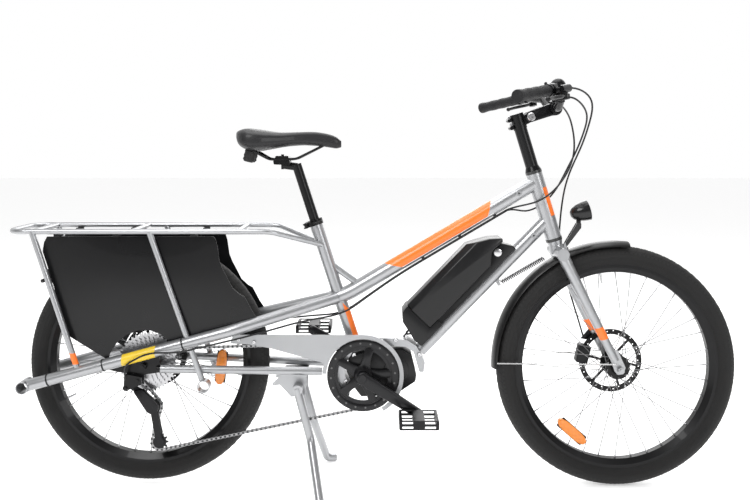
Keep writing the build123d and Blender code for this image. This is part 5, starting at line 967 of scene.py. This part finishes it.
class MakeCranks(bpy.types.Operator):
    """Make the chainring, its ring guard, the spider and both crank arms"""

    bl_idname = "bicycle.make_cranks"
    bl_label = "Make the cranks"

    def execute(self, context):
        black = coated("crank_black", rgb(0.014, 0.014, 0.015), 0.3, 0.5, 0.2, 1400.0, 0.00002, 0.2)
        ring = cog("ring", CRANK + aside(CHAIN_Y), RING_TEETH, 0.0026, 0.070, 0.5)
        guard = turned("guard", [
            (-0.0566, 0.0795), (-0.0573, 0.0805), (-0.0573, 0.0975), (-0.0566, 0.0988), (-0.0548, 0.0988),
            (-0.0546, 0.0795),
        ], CRANK, 144)
        web = [(-0.0550, 0.070), (-0.0550, 0.082), (-0.0516, 0.082), (-0.0516, 0.070)]
        boss = [(-0.078, 0.010), (-0.078, 0.020), (-0.064, 0.024), (-0.049, 0.028), (-0.049, 0.010)]
        arm = slab("spider", [Vector((x, 0, z)) for x, z in (
            (0.012, -0.017), (0.045, -0.0105), (0.074, -0.012), (0.079, 0), (0.074, 0.012), (0.045, 0.0105),
            (0.012, 0.017),
        )], aside(0.0045), 0.0012)
        hub = Matrix.Translation(CRANK + aside(-0.0580))
        turns = [
            hub @ Matrix.Rotation(math.radians(32) + math.tau * (k + 0.5) / 5, 4, "Y") for k in range(5)
        ]
        pieces = [
            ring, guard, turned("web", web, CRANK, 96), repeated("spider", arm, turns),
            turned("boss", boss, CRANK, 48),
        ]
        finish_piece(joined("chainring_and_guard", pieces), "cranks", black, ("chainring",))
        # Painted shade: dark discs on the ring guard stand for its small holes, which show only shade.
        bright = steel("guard_hole_shade", rgb(0.10, 0.10, 0.10))
        hole_shade_disc = peg("hole_shade_disc", aside(-0.0579), aside(-0.0572), 0.0028, 0.0022, 16)
        holes = [
            Matrix.Translation(CRANK + around(math.tau * (k + 0.25) / 20, 0.0885)) for k in range(20)
        ]
        finish_piece(repeated("guard_hole_shade", hole_shade_disc, holes), "cranks", bright)
        arms = crank_arm("right_arm", -1, CRANK_DIR) + crank_arm("left_arm", 1, -CRANK_DIR)
        half = aside(0.090)
        arms.append(peg("spindle", CRANK - half, CRANK + half, 0.0098, None, 32))
        finish_piece(joined("crank_arms_shaped", arms), "cranks", black, ("crank_arms",))
        return {"FINISHED"}


def saddle_section(x):
    """Half width, top and lower edge of the saddle at a distance from its tail, in metres."""
    table = (
        (0.000, 0.030, 0.078, 0.058), (0.008, 0.062, 0.083, 0.040), (0.028, 0.084, 0.089, 0.028),
        (0.060, 0.088, 0.087, 0.024), (0.095, 0.074, 0.081, 0.030), (0.125, 0.056, 0.077, 0.036),
        (0.155, 0.040, 0.078, 0.040), (0.190, 0.030, 0.080, 0.042), (0.225, 0.0245, 0.079, 0.040),
        (0.255, 0.0205, 0.074, 0.036), (0.278, 0.0165, 0.066, 0.032), (0.291, 0.009, 0.054, 0.036),
    )
    for (x0, *low), (x1, *high) in zip(table, table[1:]):
        if x <= x1:
            part = (x - x0) / (x1 - x0)
            return [a + (b - a) * part for a, b in zip(low, high)]
    return list(table[-1][1:])


class MakeSaddle(bpy.types.Operator):
    """Make the padded saddle and its shell"""

    bl_idname = "bicycle.make_saddle"
    bl_label = "Make the saddle"

    def execute(self, context):
        low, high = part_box("saddle")
        base = high.z - 0.089 - 0.0005
        tail = low.x
        mesh = bmesh.new()
        length, rows, columns, crease = 0.292, 22, 28, 0.35
        stations = [length * (1 - math.cos(math.pi * k / rows)) / 2 for k in range(rows + 1)]
        rings = []
        for x in stations:
            half, top, edge = saddle_section(x)
            ring = []
            for step in range(columns):
                turn = math.tau * step / columns
                side, up = math.sin(turn), math.cos(turn)
                y = signed_power(side, 0.72) * half
                if up > 0:
                    dip = 0.006 * math.exp(-(y / 0.011) ** 2) * min(1.0, x / 0.06) * (1 if x < 0.2 else 0.3)
                    z = edge + (top - edge) * (crease + (1 - crease) * up ** 0.55) - dip
                else:
                    z = edge + (top - edge) * crease + up * (crease * (top - edge) + 0.002)
                ring.append(mesh.verts.new((tail + x, y, base + z)))
            rings.append(ring)
        for a, b in zip(rings, rings[1:]):
            for k in range(columns):
                mesh.faces.new((a[k], b[k], b[(k + 1) % columns], a[(k + 1) % columns]))
        mesh.faces.new(rings[0])
        mesh.faces.new(list(reversed(rings[-1])))
        bmesh.ops.recalc_face_normals(mesh, faces=mesh.faces)
        pad = from_bmesh("saddle_pad", mesh)
        only(pad)
        modifier = pad.modifiers.new("Subdivision", "SUBSURF")
        modifier.levels = modifier.render_levels = 2
        bpy.ops.object.modifier_apply(modifier=modifier.name)
        smooth(pad, 180)
        finish_piece(pad, "post", leather(), ("saddle",))
        rubber = coated("bumper_rubber", rgb(0.02, 0.02, 0.02), 0.7, 0.0, 0.0, 600.0, 0.0001, 0.2)
        for side, hand in SIDES:
            bump = turned("saddle_bumper_" + hand, [
                (0.0, 0.0), (0.0, 0.012), (0.006, 0.0165), (0.012, 0.0150), (0.018, 0.0165), (0.024, 0.0150),
                (0.030, 0.0165), (0.036, 0.013), (0.036, 0.0),
            ], Vector((tail + 0.032, side * 0.020, base - 0.006)), 32, Vector((0.25, 0, 1)))
            finish_piece(bump, "post", rubber)
        return {"FINISHED"}


class MakeFender(bpy.types.Operator):
    """Make the rounded front fender and its wire stays"""

    bl_idname = "bicycle.make_fender"
    bl_label = "Make the fender"

    def execute(self, context):
        half, radius, crown, edge = 0.0335, 0.3325, 0.0165, 78
        outline = []
        for step in range(13):
            turn = math.radians(edge * (step / 6 - 1))
            outline.append((math.sin(turn) * half, radius + math.cos(turn) * crown))
        inner = [(y * 0.94, r - 0.0016) for y, r in reversed(outline)]
        start, sweep = -math.radians(84), math.radians(97)
        piece = turned("fender_blade", outline + inner, FRONT_AXLE, 72, Vector((0, 1, 0)), start, sweep)
        shade = coated("fender_black", rgb(0.007, 0.007, 0.007), 0.34, 0.0, 0.1, 340.0, 0.00005, 0.25)
        finish_piece(piece, "fork", shade)
        bright = steel("stay_wire", rgb(0.6, 0.6, 0.6), 0.25)
        for side, hand in SIDES:
            foot = FRONT_AXLE + Vector((-0.337, side * 0.0358, 0.012))
            eye = FRONT_AXLE + Vector((-0.020, side * 0.0765, 0.020))
            tip = eye + Vector((0.004, -side * 0.004, 0))
            route = [foot, foot.lerp(eye, 0.4), foot.lerp(eye, 0.8), eye, tip]
            stay = wire_piece("fender_stay_" + hand, route, 0.0018)
            finish_piece(stay, "fork", bright)
        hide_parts("front_fender")
        return {"FINISHED"}


class MakeSkirts(bpy.types.Operator):
    """Make the bowed side skirts that keep loads off the rear wheel"""

    bl_idname = "bicycle.make_skirts"
    bl_label = "Make the skirts"

    def execute(self, context):
        shade = skirt_plastic()
        bulge, thickness, hem = settings().skirt_bulge, 0.0014, 0.44
        low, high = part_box("side_skirts")
        edge = [
            (-264, 705.5), (-272, 690), (-276, 665.5), (-258, 610), (-240, 553), (-216, 472), (-205, 434),
            (-96, 367), (-92, 385), (-74, 414), (-48, 436), (-15, 449), (18, 449), (50, 437), (76, 415),
            (93, 389), (96, 366), (100, 395), (200, 422), (325, 461), (297, 502), (276, 541), (262, 549),
            (243, 566), (228, 595.5), (217, 615), (208, 637.5), (202, 680), (196, 699.5), (190, 705.5),
        ]
        for side, hand in SIDES:
            name = "skirt_" + hand
            outline = [at(x, z, side * SKIRT_MM) for x, z in edge]
            piece = slab(name, outline, aside(side * thickness))
            edit(piece)
            for cuts, normal in ((22, (1, 0, 0)), (16, (0, 0, 1))):
                for cut in range(1, cuts):
                    bpy.ops.mesh.select_all(action="SELECT")
                    bpy.ops.mesh.bisect(plane_co=low + (high - low) * cut / cuts, plane_no=normal)
            done()
            for vertex in piece.data.vertices:
                along = (vertex.co.x - low.x) / (high.x - low.x)
                up = (vertex.co.z - hem) / (high.z - hem)
                bow = math.sin(math.pi * min(1, max(0, along))) * math.sin(math.pi * min(1, max(0, up)))
                vertex.co.y += side * bulge * bow
            smooth(piece, 40)
            finish_piece(piece, "frame", shade)
            clips = [
                brick("clip", at(station, 710, side * 82), (0.018, 0.022, 0.008), 0.002)
                for station in (-230.0, -70.0, 140.0)
            ]
            black = coated(name + "_clip_black", BLACK, 0.5)
            finish_piece(joined(name + "_clips", clips), "frame", black)
            if side < 0:
                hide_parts("side_skirts")
        return {"FINISHED"}


class MakeLights(bpy.types.Operator):
    """Make the headlight and the lens of the tail light"""

    bl_idname = "bicycle.make_lights"
    bl_label = "Make the lights"

    def execute(self, context):
        centre = Vector((0.572807, 0, 0.765509))
        axis = around(math.radians(14))
        shell = coated("lamp_black", BLACK, 0.3, 0.0, 0.3, 700.0, 0.00003, 0.2)
        body = turned("lamp_shell", [
            (-0.026, 0.0), (-0.026, 0.008), (-0.020, 0.016), (-0.006, 0.024), (0.012, 0.0275),
            (0.026, 0.0285), (0.027, 0.0265), (0.022, 0.024), (0.010, 0.018), (0.004, 0.0),
        ], centre, 64, axis)
        foot = brick("lamp_foot", centre + Vector((-0.003, 0, -0.028)), (0.012, 0.0096, 0.022), 0.0015)
        finish_piece(joined("headlight_shell", [body, foot]), "lamp", shell, ("headlight",))
        glass = turned("lamp_glass", [
            (0.018, 0.0), (0.0185, 0.012), (0.0195, 0.0245), (0.0225, 0.0245), (0.0245, 0.012), (0.0252, 0.0),
        ], centre, 48, axis)
        finish_piece(glass, "lamp", lens("lamp_lens", rgb(0.78, 0.80, 0.82), 320.0))
        low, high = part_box("tail_light")
        middle = Vector((low.x + 0.006, 0, (low.z + high.z) / 2))
        red = brick("tail_lens", middle, (0.016, 0.044, 0.034), 0.004)
        finish_piece(red, "frame", lens("tail_red", rgb(0.55, 0.01, 0.01), 260.0))
        return {"FINISHED"}


class MakeGrips(bpy.types.Operator):
    """Make both ribbed grips with their clamp collars"""

    bl_idname = "bicycle.make_grips"
    bl_label = "Make the grips"

    def execute(self, context):
        rubber = ribbed_rubber()
        collar = coated("grip_collar", BLACK, 0.3, 0.6)
        run = GRIP_OUTER - GRIP_INNER
        length = run.length
        outline = [(0.0, 0.0118), (0.0, 0.0155), (0.004, 0.0162)]
        outline += [
            (0.012 + k * (length - 0.024) / 12, 0.0148 + 0.0012 * math.sin(k * 0.9) ** 2) for k in range(13)
        ]
        outline += [
            (length - 0.004, 0.0168), (length + 0.003, 0.0165), (length + 0.004, 0.012),
            (length + 0.004, 0.0), (length + 0.001, 0.0), (length, 0.0118),
        ]
        right = turned("grip_right", outline, GRIP_INNER, 40, run)
        left = mirrored_copy(right, "grip_left")
        finish_piece(right, "bar", rubber, ("grips",))
        finish_piece(left, "bar", rubber)
        band = [(0.002, 0.0158), (0.002, 0.0172), (0.010, 0.0172), (0.010, 0.0158)]
        ring = turned("grip_ring_right", band, GRIP_INNER, 40, run)
        other = mirrored_copy(ring, "grip_ring_left")
        finish_piece(ring, "bar", collar)
        finish_piece(other, "bar", collar)
        return {"FINISHED"}


class MakeSpring(bpy.types.Operator):
    """Make the coil that centres the steering"""

    bl_idname = "bicycle.make_spring"
    bl_label = "Make the spring"

    def execute(self, context):
        start = Vector((0.345002, 0, 0.56402))
        end = Vector((0.484138, 0, 0.643058))
        axis = (end - start).normalized()
        side = Vector((0, 1, 0))
        across = axis.cross(side)
        points = []
        turns, steps, radius, first, bare = 26, 8, 0.0060, 0.008, 0.022
        length = (end - start).length
        for step in range(turns * steps + 1):
            turn = math.tau * step / steps
            along = first + (length - bare) * step / (turns * steps)
            rim = (side * math.cos(turn) + across * math.sin(turn)) * radius
            points.append(start + axis * along + rim)
        coil = wire_piece("spring_coil", points, 0.0013, 4)
        shade = steel("spring_steel", rgb(0.10, 0.10, 0.105), 0.35)
        coil.data.materials.append(shade.material)
        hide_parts("steering_spring")
        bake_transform(coil)
        return {"FINISHED"}


class MakeHardware(bpy.types.Operator):
    """Add bolts, caps and the battery's lock"""

    bl_idname = "bicycle.make_hardware"
    bl_label = "Make the bolts"

    def execute(self, context):
        bright = steel("bolt_steel", rgb(0.55, 0.55, 0.56), 0.25)

        def bolts(name, body, places, radius=0.005):
            head = turned("bolt", [
                (0.0, 0.0), (0.0, radius), (-radius * 0.7, radius), (-radius * 0.95, radius * 0.82),
                (-radius * 0.95, radius * 0.42), (-radius * 0.5, radius * 0.42), (-radius * 0.5, 0.0),
            ], Vector((0, 0, 0)), 16)
            piece = repeated(name, head, [Matrix.Translation(p) for p in places])
            finish_piece(piece, body, bright)

        bolts("stem_pivot_cap", "fork", [Vector((0.43075, -0.0268, 1.034))], 0.0115)
        bolts("stem_clamp_bolts", "fork", [
            STEER_FOOT + STEER_UP * up + STEER_AHEAD * -0.025 + aside(-0.0150)
            for up in (0.732, 0.752)
        ], 0.0045)
        bolts("cradle_bolts", "frame", [
            at(552, 300, -36), at(574, 372, -36), at(690, 414, -36), at(755, 374, -36), at(640, 414, -36),
        ], 0.006)
        bolts("guard_bolts", "frame", [at(258, 420, -60), at(300, 414, -60)], 0.005)
        lock = turned("lock", [(0.0, 0.0), (0.0, 0.011), (-0.003, 0.011), (-0.004, 0.009), (-0.004, 0.0)],
                      DOWN_FOOT + DOWN_DIR * 0.350 + DOWN_OUT * 0.040 + aside(-0.024), 32)
        finish_piece(lock, "frame", bright)
        return {"FINISHED"}


class EaseEdges(bpy.types.Operator):
    """Ease the edges of the battery, motor, pedals and brake parts"""

    bl_idname = "bicycle.ease_edges"
    bl_label = "Ease the edges"

    def execute(self, context):
        case = coated("battery_case", rgb(0.007, 0.007, 0.0075), 0.36, 0.0, 0.15, 300.0, 0.00005, 0.25)
        softened("battery", "battery_pack", case, 0.0028)
        softened("battery_holder", "frame", case, 0.0014)
        softened("motor_housing", "frame", case, 0.0018)
        tread = coated("pedal_black", rgb(0.014, 0.014, 0.015), 0.42, 0.3, 0.0, 700.0, 0.00006, 0.2)
        softened("pedal_right", "right_pedal", tread, 0.0009)
        softened("pedal_left", "left_pedal", tread, 0.0009)
        anodised = coated("anodised_black", rgb(0.013, 0.013, 0.014), 0.3, 0.6, 0.1, 1300.0, 0.00002, 0.2)
        softened("derailleur_arm", "derailleur", anodised, 0.0009)
        softened("derailleur_cage", "cage", anodised, 0.0004)
        softened("front_caliper", "fork", anodised, 0.0012)
        softened("rear_caliper", "frame", anodised, 0.0012)
        softened("stem_arm", "bar", anodised, 0.0016)
        softened("tail_light", "frame", case, 0.0012)
        return {"FINISHED"}


CORNER = Vector((0.497656, -0.186018, 1.103429))
SHIFTER = Vector((0.494431, -0.186777, 1.078832))
UNDER = TOP_JOIN + Vector((TOP_DIR.z, 0, -TOP_DIR.x)) * 0.0265


def under_top(back, y, lift=0.0):
    return UNDER - TOP_DIR * back / 1000 + Vector((0, y / 1000, lift / 1000))


def hung(name, route, split, shade):
    """A hose from the bar, made as an upper and a lower piece that meet at the middle of one run."""
    middle = (route[split] + route[split + 1]) / 2
    upper = wire_piece(name + "_upper", route[: split + 1] + [middle], HOSE_RADIUS, 10)
    lower = wire_piece(name + "_lower", [middle] + route[split + 1 :], HOSE_RADIUS, 10)
    for piece, first, second, start, end in (
        (upper, "bar", "fork", route[0], middle), (lower, "fork", "frame", middle, route[-1]),
    ):
        piece.data.materials.append(shade.material)
        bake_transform(piece)


class MakeHoses(bpy.types.Operator):
    """Hang the brake hoses and the shift cable from the bar"""

    bl_idname = "bicycle.make_hoses"
    bl_label = "Hang the hoses"

    def execute(self, context):
        jacket = cable_jacket()
        front = [
            CORNER, Vector((0.523321, -0.173833, 1.107006)), at(1222, 1086, -120), at(1216, 1022, -92),
            at(1202, 952, -56), at(1182, 892, -14), at(1170, 828, 26), at(1166, 744, 52), at(1168, 668, 84),
            at(1184, 590, 90), at(1206, 510, 88), at(1226, 440, 74), at(1234, 402, 60),
        ]
        piece = wire_piece("front_brake_hose", front, HOSE_RADIUS, 10)
        piece.data.materials.append(jacket.material)
        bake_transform(piece)
        twin = Vector((CORNER.x, -CORNER.y, CORNER.z))
        hung("rear_brake_hose", [
            twin, twin + Vector((0.024, -0.022, 0.002)), at(1186, 1064, 60), at(1192, 1010, 8),
            at(1190, 950, -30), at(1172, 890, -46), at(1140, 836, -46), at(1080, 790, -38),
            under_top(76, 2, -6), under_top(112, 6),
        ], 4, jacket)
        hung("gear_cable", [
            SHIFTER, SHIFTER + Vector((0.015055, -0.012754, 0.003962)), at(1204, 1050, -124),
            at(1206, 1004, -84), at(1192, 944, -46), at(1172, 886, -2), at(1154, 826, 36),
            at(1112, 782, 42), at(1058, 760, 24), under_top(88, -4, -8), under_top(112, -6),
        ], 4, jacket)
        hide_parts("bar_cables")
        return {"FINISHED"}


class MakeStudio(bpy.types.Operator):
    """Set the pale floor, the soft lights and the camera"""

    bl_idname = "bicycle.make_studio"
    bl_label = "Set the studio"

    def execute(self, context):
        nothing_selected()
        bpy.ops.mesh.primitive_plane_add(size=40, location=(0, 0, -0.0005))
        floor = bpy.context.object
        floor.name = "studio_floor"
        shade = Shade("floor_paper")
        colour = (*settings().floor_colour, 1.0)
        drift = shade.noise(0.6, 2.0)
        shade.set(Base_Color=shade.mix(drift, colour, scaled(colour, 0.985)), Roughness=0.9)
        shade.set(Emission_Color=colour, Emission_Strength=0.42)
        floor.data.materials.append(shade.material)
        world = bpy.data.worlds.new("studio")
        world.use_nodes = True
        sky = world.node_tree
        way = sky.nodes.new("ShaderNodeTexCoord")
        parts = sky.nodes.new("ShaderNodeSeparateXYZ")
        ramp = sky.nodes.new("ShaderNodeMapRange")
        ramp.interpolation_type = "SMOOTHSTEP"
        for key, value in (("From Min", -0.3), ("From Max", 0.35), ("To Min", 0.20), ("To Max", 1.0)):
            ramp.inputs[key].default_value = value
        sky.links.new(way.outputs["Generated"], parts.inputs[0])
        sky.links.new(parts.outputs["Y"], ramp.inputs["Value"])
        sky.links.new(ramp.outputs["Result"], sky.nodes["Background"].inputs["Strength"])
        sky.nodes["Background"].inputs["Color"].default_value = (1, 1, 1, 1)
        context.scene.world = world
        for name, place, size, power in (
            ("key", (-1.6, -2.6, 3.0), 1.6, 85.0), ("fill", (2.4, -2.8, 1.8), 1.4, 38.0),
            ("top", (0.0, 0.2, 3.4), 2.6, 75.0), ("rim", (0.4, 3.0, 2.2), 2.4, 45.0),
        ):
            light = bpy.data.lights.new(name, "AREA")
            light.size = size
            light.energy = power
            lamp = bpy.data.objects.new(name, light)
            lamp.location = place
            aim = Vector((0, 0, 0.5)) - Vector(place)
            lamp.rotation_euler = aim.to_track_quat("-Z", "Y").to_euler()
            context.scene.collection.objects.link(lamp)
        camera = bpy.data.cameras.new("camera")
        camera.sensor_width = 36
        camera.lens = 39.13
        camera.shift_x = -0.0027
        camera.shift_y = -0.1427
        view = bpy.data.objects.new("camera", camera)
        view.location = (0.00145, -2.300, 0.961)
        view.rotation_euler = (math.radians(90), 0, 0)
        context.scene.collection.objects.link(view)
        context.scene.camera = view
        context.scene.view_settings.view_transform = "Standard"
        return {"FINISHED"}


OPERATORS = (
    PaintFrame, MakeTyres, MakeSprockets, MakeChain, MakeCranks, MakeSaddle, MakeFender, MakeSkirts,
    MakeLights, MakeGrips, MakeSpring, MakeHardware, EaseEdges, MakeHoses, MakeStudio,
)


class BicyclePanel(bpy.types.Panel):
    """Sizes and steps of the cargo bicycle"""

    bl_label = "Cargo Bicycle"
    bl_idname = "VIEW3D_PT_cargo_bicycle"
    bl_space_type = "VIEW_3D"
    bl_region_type = "UI"
    bl_category = "Cargo Bicycle"

    def draw(self, context):
        layout = self.layout
        for name in ("tread_steps", "tread_blocks", "skirt_bulge", "floor_colour"):
            layout.prop(context.scene.cargo_bicycle, name)
        for operator in OPERATORS:
            layout.operator(operator.bl_idname)


def register():
    for made in (BicycleSettings, *OPERATORS, BicyclePanel):
        bpy.utils.register_class(made)
    bpy.types.Scene.cargo_bicycle = bpy.props.PointerProperty(type=BicycleSettings)


def unregister():
    del bpy.types.Scene.cargo_bicycle
    for made in reversed((BicycleSettings, *OPERATORS, BicyclePanel)):
        bpy.utils.unregister_class(made)


def main():
    register()
    bpy.ops.bicycle.paint_frame()
    bpy.ops.bicycle.make_tyres()
    bpy.ops.bicycle.make_sprockets()
    bpy.ops.bicycle.make_chain()
    bpy.ops.bicycle.make_cranks()
    bpy.ops.bicycle.make_saddle()
    bpy.ops.bicycle.make_fender()
    bpy.ops.bicycle.make_skirts()
    bpy.ops.bicycle.make_lights()
    bpy.ops.bicycle.make_grips()
    bpy.ops.bicycle.make_spring()
    bpy.ops.bicycle.make_hardware()
    bpy.ops.bicycle.ease_edges()
    bpy.ops.bicycle.make_hoses()
    bpy.ops.bicycle.make_studio()


if __name__ == "__main__":
    main()
